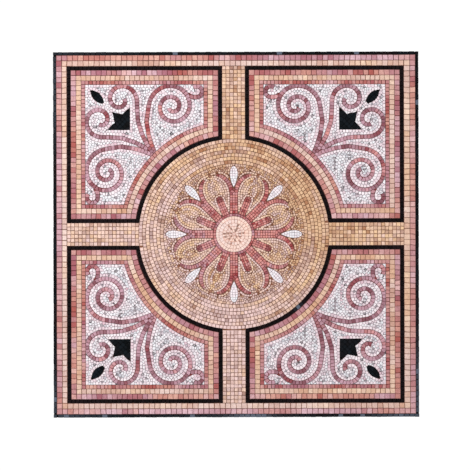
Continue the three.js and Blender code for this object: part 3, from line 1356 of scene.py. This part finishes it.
@dataclass
class CornerPanel:
    """One corner panel: four bands, a white ground, scrollwork, a bud and a leaf.

    Args:
        quarter: Which corner it is.
        centre: Middle of the round field.
        arm: Half width of a cross arm.
        radius: Radius of the round field.
        frame_x: x of the middle of the frame.
        frame_half: Half side of the frame.
    """

    quarter: Quarter
    centre: Point = CENTRE
    arm: float = ARM
    radius: float = FIELD_RADIUS
    frame_x: float = FRAME_X
    frame_half: float = FRAME_HALF

    BANDS = (("black_line", 0.0, 12.0, 12.2, Slot.BLACK, Shade(0.35, 0.3, 0.95, 0.1)),
             ("rose_band", 12.0, 28.0, 15.4, Slot.ROSE, Shade(0.42, 0.28, 0.5, 0.35)),
             ("cream_band", 28.0, 43.5, 14.6, Slot.CREAM, Shade(0.48, 0.22, 0.6, 0.3)),
             ("inner_line", 43.5, 55.5, 11.2, Slot.ROSE, Shade(0.34, 0.25, 0.55, 0.3)))
    GROUND = 55.5
    GRID = (40.0, 500.7)
    HALF_WIDTH = 6.3
    LARGE_STEM = ((238.0, 243.0), (249.0, 270.0), (258.5, 302.0), (264.0, 342.0))
    SMALL_STEM = ((246.0, 246.0), (263.0, 272.0), (277.0, 300.0), (289.5, 338.0), (292.0, 372.0))
    CURL_STEM = ((139.0, 421.0), (126.0, 414.0))
    BUD_BASE = 314.5
    BUD_SIDE = ((322.0, 377.0), (329.5, 369.0), (336.0, 359.6), (341.5, 362.0), (349.0, 363.6), (357.0, 365.0))
    BUD_TIP, BUD_HEAD = 384.0, 367.5
    LEAF_START, LEAF_LENGTH = 396.5, 52.0
    LEAF_WIDTHS = (3.5, 8.8, 11.6, 12.0, 10.6, 6.8, 1.5)
    LINE_MIDDLE = 6.0

    @staticmethod
    def volute(u: float, v: float, start: float, turns: float, sense: int,
               radius: tuple[float, float, float], steps: int) -> list[Point]:
        """Points on a spiral whose radius is a quadratic in its turns.

        Args:
            u: Middle, to the right.
            v: Middle, upwards.
            start: Angle of its outer end in degrees.
            turns: Number of turns.
            sense: 1 for anticlockwise, -1 for clockwise.
            radius: Radius at the start, and what one turn and its square add.
            steps: Number of parts.

        Returns:
            The points from the outside in.
        """
        points = []
        for i in range(steps + 1):
            t = turns * i / steps
            r = radius[0] + radius[1] * t + radius[2] * t * t
            angle = math.radians(start + sense * 360 * t)
            points.append((u + r * math.cos(angle), v + r * math.sin(angle)))
        return points

    def strokes(self) -> list[list[Point]]:
        """Centre lines of the scrollwork, drawn for the top right corner.

        Returns:
            The lines of one half, and then their mirror images across the diagonal.
        """
        half = [
            [*self.LARGE_STEM, *self.volute(186, 384.7, 0, 1.92, 1, (71.5, -37.5, 2.9), 60)],
            [*self.SMALL_STEM, *self.volute(343, 405.5, 180, 1.04, -1, (50, -37, 0), 30)],
            [*self.CURL_STEM, *self.volute(111, 429.6, 275, 0.62, -1, (16.6, -1, 0), 14)],
        ]
        return half + [mirrored(line) for line in half]

    def bud(self, grow: float = 0.0) -> list[Point]:
        """Outline of the bud.

        Args:
            grow: How much wider to draw it on every side.

        Returns:
            Its corners, drawn for the top right corner.
        """
        side = [(self.BUD_BASE - grow, self.BUD_TIP + grow), *[(u, v + grow) for u, v in self.BUD_SIDE],
                (self.BUD_HEAD + grow, self.BUD_HEAD + grow)]
        return [(self.BUD_BASE - grow, self.BUD_BASE - grow), *side, *mirrored(side[:-1])[::-1]]

    def leaf(self, grow: float = 0.0) -> list[Point]:
        """Outline of the leaf on the diagonal.

        Args:
            grow: How much wider to draw it on every side.

        Returns:
            Its corners, drawn for the top right corner.
        """
        low = self.LEAF_START - grow / math.sqrt(2)
        high = self.LEAF_START + (self.LEAF_LENGTH + grow) / math.sqrt(2)
        parts = len(self.LEAF_WIDTHS) - 1
        line = [(low + (high - low) * i / parts,) * 2 for i in range(parts + 1)]
        return strip(line, [width + grow for width in self.LEAF_WIDTHS])

    def at(self, points: Iterable[Point]) -> list[Point]:
        """Move points drawn for the top right corner to this quarter.

        Args:
            points: Points of the drawing.

        Returns:
            The same points in this quarter.
        """
        sx, sz = self.quarter.value
        inset = self.LINE_MIDDLE
        near = (sx * self.centre[0] + self.arm + inset, sz * self.centre[1] + self.arm + inset)
        far = (sx * self.frame_x + self.frame_half - inset, self.frame_half - inset)
        low, high = self.GRID
        return [(sx * (near[0] + (u - low) * (far[0] - near[0]) / (high - low)),
                 sz * (near[1] + (v - low) * (far[1] - near[1]) / (high - low))) for u, v in points]

    def outline(self, inset: float, flats: int = 40) -> list[Point]:
        """Outline of the corner panel, moved in by an inset, with its round side first.

        Args:
            inset: How far to move it in.
            flats: Number of parts of the round side.

        Returns:
            Its corners.
        """
        sx, sz = self.quarter.value
        near, radius = self.arm + inset, self.radius + inset
        edge = math.asin(near / radius)
        side_x, side_z = self.frame_x + sx * (self.frame_half - inset), sz * (self.frame_half - inset)
        near_x, near_z = self.centre[0] + sx * near, self.centre[1] + sz * near
        curve = [(self.centre[0] + sx * u, self.centre[1] + sz * v)
                 for u, v in arc((0.0, 0.0), radius, edge, math.pi / 2 - edge, flats)]
        return [*curve, (near_x, side_z), (side_x, side_z), (side_x, near_z)]

    def band(self, name: str, low: float, high: float, pitch: float, slot: Slot, shade: Shade) -> StoneArea:
        """Set out one band along the edge of the panel.

        Args:
            name: Name of the band.
            low: Inset of its outer edge.
            high: Inset of its inner edge.
            pitch: Distance from one stone to the next.
            slot: Material slot.
            shade: How the stones' colours differ.

        Returns:
            The area, ready to be laid.
        """
        area = StoneArea(f"{self.quarter.prefix}_{name}", slot,
                         [Outline(self.outline(low)), Outline(self.outline(high))],
                         tint=tinted(CHIPPED_LINE) if slot is Slot.BLACK else None)
        middle = self.outline((low + high) / 2)
        curve, rest = middle[:-3], [middle[-4], *middle[-3:], middle[0]]
        for line in (curve, *zip(rest, rest[1:])):
            area.place(stations(line, pitch)[:-1], shade, reach=12.0)
        return area

    def scroll(self) -> StoneArea:
        """Set out the scrollwork, one stone wide along each stroke.

        Returns:
            The area, ready to be laid.
        """
        lines = self.strokes()
        fences = [Outline(self.at(strip(line, self.HALF_WIDTH)), (f"stroke_{i}",))
                  for i, line in enumerate(lines)]
        area = StoneArea(f"{self.quarter.prefix}_scroll", Slot.RED,
                         [Outline(self.outline(self.GROUND)), *fences], joint=1.4)
        shade = Shade(0.6 - 0.05 * sum(self.quarter.value), 0.42, 0.08, 0.35)
        for i, line in enumerate(lines):
            spots = self.at(stations(line, pitch=10.2, ends=False))
            area.place(spots, shade, reach=8.5, figure=f"stroke_{i}", spacing=7.2)
        return area

    def black_figures(self) -> list[StoneArea]:
        """Set out the bud and the leaf in black stones along the diagonal.

        Returns:
            The two areas, ready to be laid.
        """
        steps = self.at((300 + 7.4 * (i + j), 300 + 7.4 * (i - j) + 9.0) for i in range(22) for j in range(-12, 13))
        areas = []
        for name, figure in (("bud", self.bud()), ("leaf", self.leaf())):
            fence = Outline(self.at(figure))
            area = StoneArea(f"{self.quarter.prefix}_{name}", Slot.BLACK, [fence], joint=0.9)
            spots = open_ground(steps, fence, [], clearance=1.6, from_edge=True)
            area.place(spots, Shade(0.4, 0.35, 0.05, 0.15), reach=9.0, jitter=0.7)
            areas.append(area)
        return areas

    def ground(self) -> StoneArea:
        """Set out the white ground: rows that follow every edge, and a quieter fill between them.

        Returns:
            The area, ready to be laid.
        """
        strokes = self.strokes()
        outer = Outline(self.outline(self.GROUND))
        figures = [Outline(self.at(strip(line, self.HALF_WIDTH))) for line in strokes]
        figures += [Outline(self.at(self.bud())), Outline(self.at(self.leaf()))]
        area = StoneArea(f"{self.quarter.prefix}_white_ground", Slot.WHITE, [outer, *figures],
                         joint=1.3, least_area=5.0)

        def free(points: Sequence[Point], clearance: float) -> list[Point]:
            """Keep the points that lie on the ground, clear of its edges."""
            return open_ground(points, outer, figures, clearance, from_edge=True)

        def beside_strokes(away: float, pitch: float, clearance: float) -> Iterator[list[Point]]:
            """Set out rows on both sides of each stroke.

            Args:
                away: Distance from the edge of the stroke.
                pitch: Distance from stone to stone.
                clearance: Least distance from every edge of the ground.

            Yields:
                The middles of one row of stones.
            """
            for line in strokes:
                for side in (1, -1):
                    row = beside(line, side * (self.HALF_WIDTH + away))
                    yield free(self.at(stations(row, pitch)), clearance)

        bright, calm = Shade(0.75, 0.25, 0.95, 0.15), Shade(0.84, 0.35, 0.3, 0.35)
        for row in beside_strokes(away=4.9, pitch=9.6, clearance=3.2):
            area.place(row, bright, reach=7.5, spacing=6.8)
        for figure in (self.bud(4.9), self.leaf(4.9)):
            row = self.at(stations([*figure, figure[0]], pitch=9.6))
            area.place(free(row, clearance=3.0), bright, reach=7.5, spacing=7.0)
        edge = self.outline(self.GROUND + 5.0)
        row = stations([*edge, edge[0]], pitch=10.2)
        area.place(free(row, clearance=3.4), bright, reach=7.5, spacing=7.2)
        for row in beside_strokes(away=15.0, pitch=10.6, clearance=7.0):
            area.place(row, calm, reach=8.0, spacing=8.6)
        grid = [(60 + 11.2 * i, 60 + 10.8 * j) for j in range(41) for i in range(41)]
        area.place(free(self.at(grid), clearance=5.0), calm, reach=8.0, spacing=8.8, jitter=0.5)
        chips = free(self.at([(u + 5.3, v + 5.1) for u, v in grid]), clearance=6.0)
        area.place(chips[::4], Shade(0.3, 0.3, 0.3, 0.3, 0.5), reach=1.8, spacing=3.0, jitter=1.5)
        for step, clearance, spacing in ((3.7, 3.6, 7.8), (2.3, 2.0, 6.0)):
            count = round(410 / step)
            rest = [(55 + step * i, 55 + step * j) for j in range(count) for i in range(count)]
            area.place(free(self.at(rest), clearance), calm, reach=6.8, spacing=spacing, jitter=0.2)
        return area

    def areas(self) -> list[StoneArea]:
        """Set out everything in this corner panel.

        Returns:
            Its areas, ready to be laid.
        """
        bands = [self.band(*band) for band in self.BANDS]
        return [*bands, self.ground(), self.scroll(), *self.black_figures()]


# ---- rosette and field -------------------------------------------------------------------


Row = tuple[str, list[Point], Shade, float]
"""Name of a figure, and the middles, the shade and the reach of a row of its stones."""


@dataclass
class Rosette:
    """Rosette of eight petals in the round field, and the cross arms round it.

    Args:
        centre: Middle of the field.
        disc: Radius of the pink disc.
        ring: Radius of the red ring round it.
        field_radius: Radius of the round field.
        arm: Half width of a cross arm.
        frame_x: x of the middle of the frame.
        frame_half: Half side of the frame, where the arms end.
    """

    centre: Point = CENTRE
    disc: float = 54.0
    ring: float = 62.0
    field_radius: float = FIELD_RADIUS
    arm: float = ARM
    frame_x: float = FRAME_X
    frame_half: float = FRAME_HALF

    PETALS = 8
    COURSE = 10.7
    COURSES = 7
    MID, DIM = Shade(0.85, 0.4, 0.85, 0.3), Shade(0.65, 0.25, 0.6, 0.25)
    DARK = Shade(0.5, 0.25, 0.6, 0.2, 0.4)
    PALE = Shade(1.0, 0.12, 0.3, 0.25)
    BROWN_FROM = 0.55
    DISC_EDGES = (5.2, 14.0, 23.4, 33.4, 44.8)
    DISC_RINGS = ((7, Shade(0.9, 0.2, 0.4, 0.3)), (13, Shade(0.9, 0.2, 0.4, 0.3)),
                  (19, Shade(0.95, 0.18, 0.5, 0.3)), (26, Shade(0.95, 0.18, 0.6, 0.3)),
                  (38, Shade(1.0, 0.08, 0.6, 0.2)))
    SPECKLED_RINGS = 3
    PETAL_EDGE = ((68.0, 10.9), (80.0, 16.0), (90.0, 20.3), (105.0, 26.6), (118.0, 32.0), (130.0, 34.5),
                  (141.0, 35.2), (151.0, 34.1), (161.0, 31.0), (170.0, 26.3), (178.0, 19.8), (183.8, 11.0))
    AROUND_TONGUE = ((70.0, 13.4), (90.0, 13.4), (110.0, 13.4), (117.5, 11.8), (122.3, 7.6), (124.4, 0.0))
    STALK = ((54.0, 11.5), (127.0, 11.5), (133.0, 8.5), (138.0, 3.0))
    DROP_ROWS = ((148.5, (0.0,)), (156.0, (-3.2, 3.2)), (163.5, (-4.6, 4.6)), (171.0, (-7.4, 0.0, 7.4)),
                 (178.5, (-8.0, 0.0, 8.0)), (186.0, (-8.0, 0.0, 8.0)), (193.5, (-6.6, 0.0, 6.6)),
                 (200.5, (-3.4, 3.4)))
    PLAIN = Shade(0.74, 0.32, 0.5, 0.3)
    EDGE_RING = Shade(0.75, 0.15, 0.35, 0.2)
    RING_PITCH = 11.2
    ARM_COLUMNS, ARM_COLUMN, ARM_ROW = 6, 11.45, 11.4
    ARM_START = 292.0
    CROWN = ((163.0, 49.8), (170.0, 47.9), (178.0, 43.4), (184.5, 36.9), (189.2, 27.8), (190.8, 18.0),
             (191.4, 9.0), (193.2, 0.0))
    PETAL_SIDE = ((118.0, 35.5), (130.0, 38.0), (141.0, 38.8), (151.0, 37.6), (161.0, 34.4), (170.0, 29.6),
                  (178.0, 23.0), (184.0, 14.5), (188.0, 6.5))
    FLANK = ((119.0, 42.0), (131.0, 44.7), (142.0, 45.4), (152.0, 44.0), (162.0, 40.4), (171.0, 35.0),
             (178.5, 28.0), (183.5, 20.0))
    FLANK_WIDTHS = (5.6, 5.9, 5.9, 5.9, 5.9, 5.7, 5.1, 3.6)
    DROP = ((143.0, 0.8), (151.0, 4.8), (161.0, 8.4), (172.0, 11.0), (184.0, 12.0), (195.0, 10.2),
            (202.0, 6.2), (205.5, 1.2))

    def turned(self, points: Iterable[Point], degrees: float) -> list[Point]:
        """Turn [along, across] points to one direction of the rosette."""
        c, s = math.cos(math.radians(degrees)), math.sin(math.radians(degrees))
        return [(self.centre[0] + a * c - w * s, self.centre[1] + a * s + w * c) for a, w in points]

    def circle(self, radius: float) -> list[Point]:
        """Points on a whole circle about the middle of the field."""
        return arc(self.centre, radius, 0, 2 * math.pi, 96)[:-1]

    def stalk(self) -> list[Point]:
        """Outline of a stalk."""
        return both_sides(self.STALK)

    def tongue(self) -> list[Point]:
        """Outline of a tongue, with its round end."""
        end = [(111 + 10 * math.cos(a), 10 * math.sin(a)) for a in np.linspace(math.pi / 2, 0.12, 7)]
        return both_sides([(56.0, 10.0), *end])

    def petal(self) -> list[Point]:
        """Outline of a petal, from the ring to its top.

        Returns:
            Its corners, as distances along and across the petal.
        """
        slope = math.tan(math.radians(180 / self.PETALS))
        foot = (68.0, 68.0 * slope - 12.5 / math.cos(math.radians(180 / self.PETALS)))
        return both_sides([foot, *self.PETAL_SIDE, (189.5, 0.4)])

    def flanks(self) -> list[list[Point]]:
        """Outlines of the two flanks of a petal."""
        one = strip(self.FLANK, self.FLANK_WIDTHS)
        return [one, flipped(one, -1)]

    def directions(self) -> list[tuple[int, float, float]]:
        """Number of each petal with the directions of its stalk and of itself."""
        return [(k + 1, 360 * k / self.PETALS, 360 * (k + 0.5) / self.PETALS) for k in range(self.PETALS)]

    def stalk_rows(self, number: int, direction: float) -> list[Row]:
        """Rows of stones up one stalk.

        Args:
            number: Number of the stalk.
            direction: Its direction in degrees.

        Returns:
            The rows from the ring outwards.
        """
        rows = [([(67.5 + 7.7 * row, w) for w in (-7.6, 0, 7.6)], self.MID) for row in range(8)]
        rows += [([(128.5, -4.2), (128.5, 4.2)], self.DIM), ([(134.5, 0)], self.DARK)]
        return [(f"stalk_{number}", self.turned(spots, direction), shade, 6.5) for spots, shade in rows]

    def tongue_rows(self, number: int, direction: float) -> list[Row]:
        """Rows of stones up one tongue, with a dark row round its end.

        Args:
            number: Number of the tongue.
            direction: Its direction in degrees.

        Returns:
            The rows from the ring outwards.
        """
        end = [(110 + 7.0 * math.cos(a), 7.0 * math.sin(a)) for a in (-1.75, -0.95, 0.0, 0.95, 1.75)]
        rows = [([(67.5 + 7.8 * row, w) for w in (-6.6, 0, 6.6)], self.MID, 6.5) for row in range(5)]
        rows += [(end, self.DARK, 6.0), ([(109.5, 0)], Shade(0.3, 0.2, 0.6, 0.2, 0.3), 6.0)]
        return [(f"tongue_{number}", self.turned(spots, direction), shade, reach) for spots, shade, reach in rows]

    def flank_rows(self, number: int, side: int, direction: float) -> list[Row]:
        """Stones along one flank, which turn brown towards its tip.

        Args:
            number: Number of the petal.
            side: 1 or -1 for the side of the petal.
            direction: Direction of the petal in degrees.

        Returns:
            One row for each stone.
        """
        spots = self.turned(stations(flipped(self.FLANK, side), pitch=7.6, ends=False), direction)
        rows = []
        for i, spot in enumerate(spots):
            brown = max(0.0, (i - len(spots) * self.BROWN_FROM) / len(spots)) * 1.3
            rows.append((f"flank_{number}_{side}", [spot], Shade(0.66, 0.38, 0.7, 0.3, min(0.4, brown)), 7.5))
        return rows

    def red_work(self) -> StoneArea:
        """Set out the ring, stalks, tongues and flanks.

        Returns:
            The area, ready to be laid.
        """
        fences = [Outline(self.circle(self.disc)), Outline(self.circle(self.ring), ("ring",))]
        rows: list[Row] = []
        for number, stalk, petal in self.directions():
            fences.append(Outline(self.turned(self.stalk(), stalk), (f"stalk_{number}",)))
            fences.append(Outline(self.turned(self.tongue(), petal), (f"tongue_{number}",)))
            rows += self.stalk_rows(number, stalk) + self.tongue_rows(number, petal)
            for side, outline in zip((1, -1), self.flanks()):
                fences.append(Outline(self.turned(outline, petal), (f"flank_{number}_{side}",)))
                rows += self.flank_rows(number, side, petal)
        area = StoneArea("rosette_red_work", Slot.RED, fences, joint=1.3, least_area=7.0, tint=tinted(RED_BATCHES))
        ring = arc(self.centre, (self.disc + self.ring) / 2, 0, 2 * math.pi, 44)[:-1]
        area.place(ring, Shade(0.6, 0.3, 0.5, 0.35), reach=6.5, figure="ring", jitter=0.2)
        for name, spots, shade, reach in rows:
            area.place(spots, shade, reach, figure=name, spacing=4.6, jitter=0.3)
        return area

    def disc_area(self) -> StoneArea:
        """Set out the pink disc in rings round a middle stone, with dark specks in the inner rings.

        Returns:
            The area, ready to be laid.
        """
        fences = [Outline(self.circle(self.disc))]
        for k, radius in enumerate(self.DISC_EDGES):
            fences.append(Outline(self.circle(radius), (f"ring_{k}", f"ring_{k + 1}")))
        area = StoneArea("centre_disc", Slot.PINK, fences, joint=0.9, least_area=2.0, courses=True)
        area.place([self.centre], Shade(0.5, 0.2), reach=6.0, figure="ring_0", jitter=0.2)
        edges = (*self.DISC_EDGES, self.disc)
        for k, (count, shade) in enumerate(self.DISC_RINGS):
            radius, figure = (edges[k] + edges[k + 1]) / 2, f"ring_{k + 1}"
            ring = arc(self.centre, radius, radius, radius + 2 * math.pi, count)[:-1]
            area.place(ring, shade, reach=8.5, figure=figure, jitter=0.3)
            if k < self.SPECKLED_RINGS:
                start = radius + math.pi / count
                specks = arc(self.centre, radius, start, start + 2 * math.pi, count)[:-1]
                area.place([spot for i, spot in enumerate(specks) if i % (2 + k // 2) == 0],
                           Shade(0.5, 0.3, 0.5, 0.3, 0.7), reach=1.7, figure=figure, jitter=0.9)
        return area

    def petal_area(self, number: int, direction: float) -> StoneArea:
        """Set out one petal: a pale row inside its edge and round the tongue, nested rows between.

        Args:
            number: Number of the petal.
            direction: Its direction in degrees.

        Returns:
            The area, ready to be laid.
        """
        outer = Outline(self.turned(self.petal(), direction))
        tongue = Outline(self.turned(self.tongue(), direction))
        courses = (("edge", self.PETAL_EDGE, 7.8), ("around", self.AROUND_TONGUE, 7.4))
        rims = [Outline(self.turned(flipped(strip(line, 3.4), side), direction), (name, "fill"))
                for name, line, _ in courses for side in (1, -1)]
        area = StoneArea(f"petal_{number}", Slot.BEIGE, [outer, tongue, *rims],
                         joint=1.3, least_area=6.0, courses=True)

        def free(points: Sequence[Point], clearance: float, figures: Sequence[Outline] = (tongue,)) -> list[Point]:
            """Turn points to this petal and keep those that lie in it, clear of its figures."""
            return open_ground(self.turned(points, direction), outer, figures, clearance, from_edge=True)

        for side in (1, -1):
            for name, line, pitch in courses:
                spots = flipped(stations(line, pitch, ends=False), side)
                area.place(free(spots, clearance=1.2), self.PALE, reach=6.5, figure=name, spacing=4.4, jitter=0.2)
        area.place(free([(186.0, 0.0)], clearance=1.0), Shade(0.2, 0.1, 0.5, 0.2, 0.75), reach=5.5,
                   figure="fill", spacing=4.0)
        for k in range(1, 5):
            nested = [(a, w) for a, w in beside(self.PETAL_EDGE, -7.3 * k) if w > 3.0 and a > 92]
            shade = Shade(0.92 if k % 2 else 0.72, 0.36, 0.5, 0.35)
            for side in (1, -1) if len(nested) > 1 else ():
                spots = free(flipped(stations(nested, pitch=7.8), side), 2.4, [tongue, *rims])
                area.place(spots, shade, reach=6.0, figure="fill", spacing=5.6, jitter=0.3)
        for step, clearance, spacing in ((3.7, 2.6, 6.2), (2.3, 1.6, 5.0)):
            rest = [(68 + step * i, step * j) for i in range(round(122 / step)) for j in range(-16, 17)]
            area.place(free(rest, clearance, [tongue, *rims]), Shade(0.82, 0.36, 0.5, 0.35), reach=6.0,
                       figure="fill", spacing=spacing, jitter=0.2)
        return area

    def drop_area(self, number: int, direction: float) -> StoneArea:
        """Set out one white drop in three columns of stones.

        Args:
            number: Number of the drop.
            direction: Its direction in degrees.

        Returns:
            The area, ready to be laid.
        """
        fence = Outline(self.turned(both_sides(self.DROP), direction))
        area = StoneArea(f"white_drop_{number}", Slot.WHITE, [fence], joint=0.9, least_area=2.5)
        spots = self.turned([(a, w) for a, across in self.DROP_ROWS for w in across], direction)
        area.place(spots, Shade(1.0, 0.15, 0.6, 0.3), reach=6.5, jitter=0.3)
        return area

    def field_outline(self) -> list[Point]:
        """Outline of the round field and the cross arms together.

        Returns:
            Its corners, from the right arm round to the last arc.
        """
        edge = math.asin(self.arm / self.field_radius)
        cx, cz = self.centre
        right, left = self.frame_x + self.frame_half, self.frame_x - self.frame_half
        ends = [[(right, cz - self.arm), (right, cz + self.arm)],
                [(cx + self.arm, self.frame_half), (cx - self.arm, self.frame_half)],
                [(left, cz + self.arm), (left, cz - self.arm)],
                [(cx - self.arm, -self.frame_half), (cx + self.arm, -self.frame_half)]]
        points: list[Point] = []
        for i, end in enumerate(ends):
            turn = i * math.pi / 2
            points += end + arc(self.centre, self.field_radius, turn + edge, turn + math.pi / 2 - edge, 40)
        return points

    def figures(self) -> list[Outline]:
        """Outlines of everything that is let into the field.

        Returns:
            The ring, and then each stalk, petal, drop, tongue and pair of flanks.
        """
        figures = [Outline(self.circle(self.ring))]
        for _, stalk, petal in self.directions():
            figures.append(Outline(self.turned(self.stalk(), stalk)))
            figures.append(Outline(self.turned(self.petal(), petal)))
            figures.append(Outline(self.turned(both_sides(self.DROP), stalk)))
            figures.append(Outline(self.turned(self.tongue(), petal)))
            figures += [Outline(self.turned(flank, petal)) for flank in self.flanks()]
        return figures

    def crowns(self) -> list[list[Point]]:
        """Outlines of the pale rows round the tops of the petals, two for each petal."""
        return [self.turned(flipped(strip(self.CROWN, 3.3), side), petal)
                for _, _, petal in self.directions() for side in (1, -1)]

    def halo(self) -> list[Point]:
        """Line of the row just outside a drop, with its last point on the drop's axis."""
        row = [(a + (3.2 if a > 190 else 0.0), w + 3.4) for a, w in self.DROP if a > 150]
        return [*row, (209.2, 0.0)]

    def course_fences(self) -> list[Outline]:
        """Circles between the arms, the rings and the inner field.

        Returns:
            The circles from the edge inwards.
        """
        zones = ["arms", *[f"ring_{k}" for k in range(self.COURSES)], "inner"]
        return [Outline(self.circle(self.field_radius - self.COURSE * k), pair)
                for k, pair in enumerate(zip(zones, zones[1:]))]

    def field_area(self) -> StoneArea:
        """Set out the beige field and arms: rows round the rosette, rings, and straight columns.

        Returns:
            The area, ready to be laid.
        """
        outer, figures, crowns = Outline(self.field_outline()), self.figures(), self.crowns()
        fences = [*self.course_fences(), *[Outline(crown, ("crown", "inner")) for crown in crowns]]
        area = StoneArea("beige_field", Slot.BEIGE, [outer, *figures, *fences], joint=1.5, least_area=6.0,
                         tint=tinted(FIELD_BATCHES), courses=True)

        def free(points: Sequence[Point], clearance: float) -> list[Point]:
            """Keep the points that lie in the field, clear of the rosette."""
            return open_ground(points, outer, figures, clearance)

        for _, stalk, petal in self.directions():
            for side in (1, -1):
                spots = self.turned(flipped(stations(self.CROWN, pitch=7.8), side), petal)
                area.place(free(spots, clearance=1.2), self.PALE, reach=6.0, figure="crown",
                           spacing=4.8, jitter=0.2)
            for side in (1, -1):
                spots = self.turned(flipped(stations(self.halo(), pitch=8.0), side), stalk)
                area.place(free(spots, clearance=1.4), Shade(0.65, 0.15, 0.15, 0.15), reach=5.0, figure="inner",
                           spacing=5.0, jitter=0.25)
        for k in range(self.COURSES + 2):
            radius, start = self.field_radius - self.COURSE * (k + 0.5), 0.7 * k
            count = round(2 * math.pi * radius / self.RING_PITCH)
            ring = arc(self.centre, radius, start, start + 2 * math.pi, count)[:-1]
            shade = self.EDGE_RING if k == 0 else self.PLAIN
            if k < self.COURSES:
                area.place(ring, shade, reach=8.0, figure=f"ring_{k}", jitter=0.45)
            else:
                area.place(free(ring, clearance=3.2), shade, reach=7.6, figure="inner", spacing=7.2, jitter=0.45)
        blocks = [*figures, *map(Outline, crowns)]
        for step, clearance, spacing in ((4.2, 2.4, 6.6), (2.6, 1.4, 5.0)):
            inner: list[Point] = []
            for i in range(round(144 / step)):
                radius, start = 66 + step * i, 0.1 * i
                inner += arc(self.centre, radius, start, start + 2 * math.pi, round(2 * math.pi * radius / step))[:-1]
            area.place(open_ground(inner, outer, blocks, clearance), Shade(0.66, 0.34, 0.5, 0.35), reach=6.5,
                       figure="inner", spacing=spacing, jitter=0.2)
        self.arms(area)
        return area

    def arms(self, area: StoneArea) -> None:
        """Set out the columns of the four cross arms, up to the outermost ring.

        Args:
            area: Area to add to.
        """
        columns = [(k - (self.ARM_COLUMNS - 1) / 2) * self.ARM_COLUMN for k in range(self.ARM_COLUMNS)]
        for quarter in range(4):
            turn = quarter * math.pi / 2
            shift = (self.frame_x - self.centre[0]) * math.cos(turn) - self.centre[1] * math.sin(turn)
            end = self.frame_half + shift
            count = round((end - self.ARM_START) / self.ARM_ROW)
            for row in range(count + 1):
                along = end - self.ARM_ROW / 2 - row * self.ARM_ROW
                for across in columns:
                    if math.hypot(along, across) < self.field_radius + 3.0:
                        continue
                    x = self.centre[0] + along * math.cos(turn) - across * math.sin(turn)
                    z = self.centre[1] + along * math.sin(turn) + across * math.cos(turn)
                    area.place([(x, z)], self.PLAIN, reach=8.0, figure="arms", jitter=0.5)

    def areas(self) -> list[StoneArea]:
        """Set out the disc, the red work, the petals, the drops and the field.

        Returns:
            Their areas, ready to be laid.
        """
        areas = [self.disc_area(), self.red_work()]
        for number, stalk, petal in self.directions():
            areas += [self.petal_area(number, petal), self.drop_area(number, stalk)]
        return [*areas, self.field_area()]


# ---- studio ------------------------------------------------------------------------------


@dataclass(frozen=True)
class Studio:
    """Camera, pale floor and soft light.

    Args:
        lens: Focal length in millimetres.
        width: Width that the camera sees at the face of the panel, in metres.
        look_x: x that the camera looks at.
        look_z: z that the camera looks at.
        roll: Turn of the camera about its own axis, in radians.
        floor_z: Height of the floor.
        surround: Strength of the light from all round.
        key: Power of the lamp in watts.
    """

    lens: float = 100.0
    width: float = 1.4135
    look_x: float = -0.0032
    look_z: float = -0.0015
    roll: float = -0.0025
    floor_z: float = -0.8
    surround: float = 0.72
    key: float = 60.0

    SENSOR, CLIP_END = 36.0, 50.0
    PALE_FLOOR = (0.8, 0.8, 0.8, 1)
    FACE_Y = -0.012
    FLOOR_HALF, FLOOR_Y = 1.3, -1.1
    WHITE_BEHIND = 1.05
    KEY_SIZE = 1.2
    KEY_PLACE = (-1.6, -2.6, 1.9)
    KEY_TURN = (58, 0, -32)

    def camera(self) -> None:
        """Put the camera straight in front of the panel."""
        data = bpy.data.cameras.new("Camera")
        data.lens, data.sensor_width = self.lens, self.SENSOR
        distance = self.width * self.lens / data.sensor_width
        camera = bpy.data.objects.new("Camera", data)
        camera.location = (self.look_x, self.FACE_Y - distance, self.look_z)
        camera.rotation_euler = Euler((math.pi / 2, -self.roll, 0.0))
        data.clip_end = self.CLIP_END
        bpy.context.scene.collection.objects.link(camera)
        bpy.context.scene.camera = camera

    def floor(self) -> None:
        """Lay a plain pale floor below the panel."""
        mesh = bmesh.new()
        bmesh.ops.create_grid(mesh, x_segments=1, y_segments=1, size=self.FLOOR_HALF)
        bmesh.ops.translate(mesh, verts=mesh.verts, vec=(0, self.FLOOR_Y, self.floor_z))
        floor = new_object("Floor", mesh)
        plain, _, shader = new_material("Pale_floor")
        shader.inputs["Base Color"].default_value = self.PALE_FLOOR
        shader.inputs["Roughness"].default_value = 0.9
        floor.data.materials.append(plain)

    def light(self) -> None:
        """Light the panel with an even white surround and one soft lamp from the upper left."""
        world = bpy.data.worlds.new("Studio")
        world.use_nodes = True
        build = NodeBuilder(world.node_tree)
        surround = world.node_tree.nodes["Background"]
        surround.inputs["Color"].default_value = (1, 1, 1, 1)
        seen = build.add("ShaderNodeLightPath").outputs["Is Camera Ray"]
        build.link(build.span(seen, 0.0, 1.0, self.surround, self.WHITE_BEHIND), surround.inputs["Strength"])
        bpy.context.scene.world = world
        data = bpy.data.lights.new("Key", "AREA")
        data.energy, data.size = self.key, self.KEY_SIZE
        key = bpy.data.objects.new("Key", data)
        key.location = self.KEY_PLACE
        key.rotation_euler = Euler([math.radians(angle) for angle in self.KEY_TURN])
        bpy.context.scene.collection.objects.link(key)
        bpy.context.scene.view_settings.view_transform = "Standard"

    def set_up(self) -> None:
        """Set up everything round the panel."""
        self.camera()
        self.floor()
        self.light()


def main() -> None:
    """Build the panel piece by piece and set up the studio."""
    logging.basicConfig(level=logging.INFO, format="%(message)s")
    Studio().set_up()
    cut = StoneCut()
    areas = Border().areas()
    for quarter in Quarter:
        areas += CornerPanel(quarter).areas()
    areas += Rosette().areas()
    total = sum(area.lay(cut) for area in areas)
    cut.fill.common()
    LOG.info("%d stones in all", total)
    mortar = SettingMortar().material()
    for slot in bpy.data.objects["setting_bed"].material_slots:
        slot.material = mortar


if __name__ == "__main__":
    main()
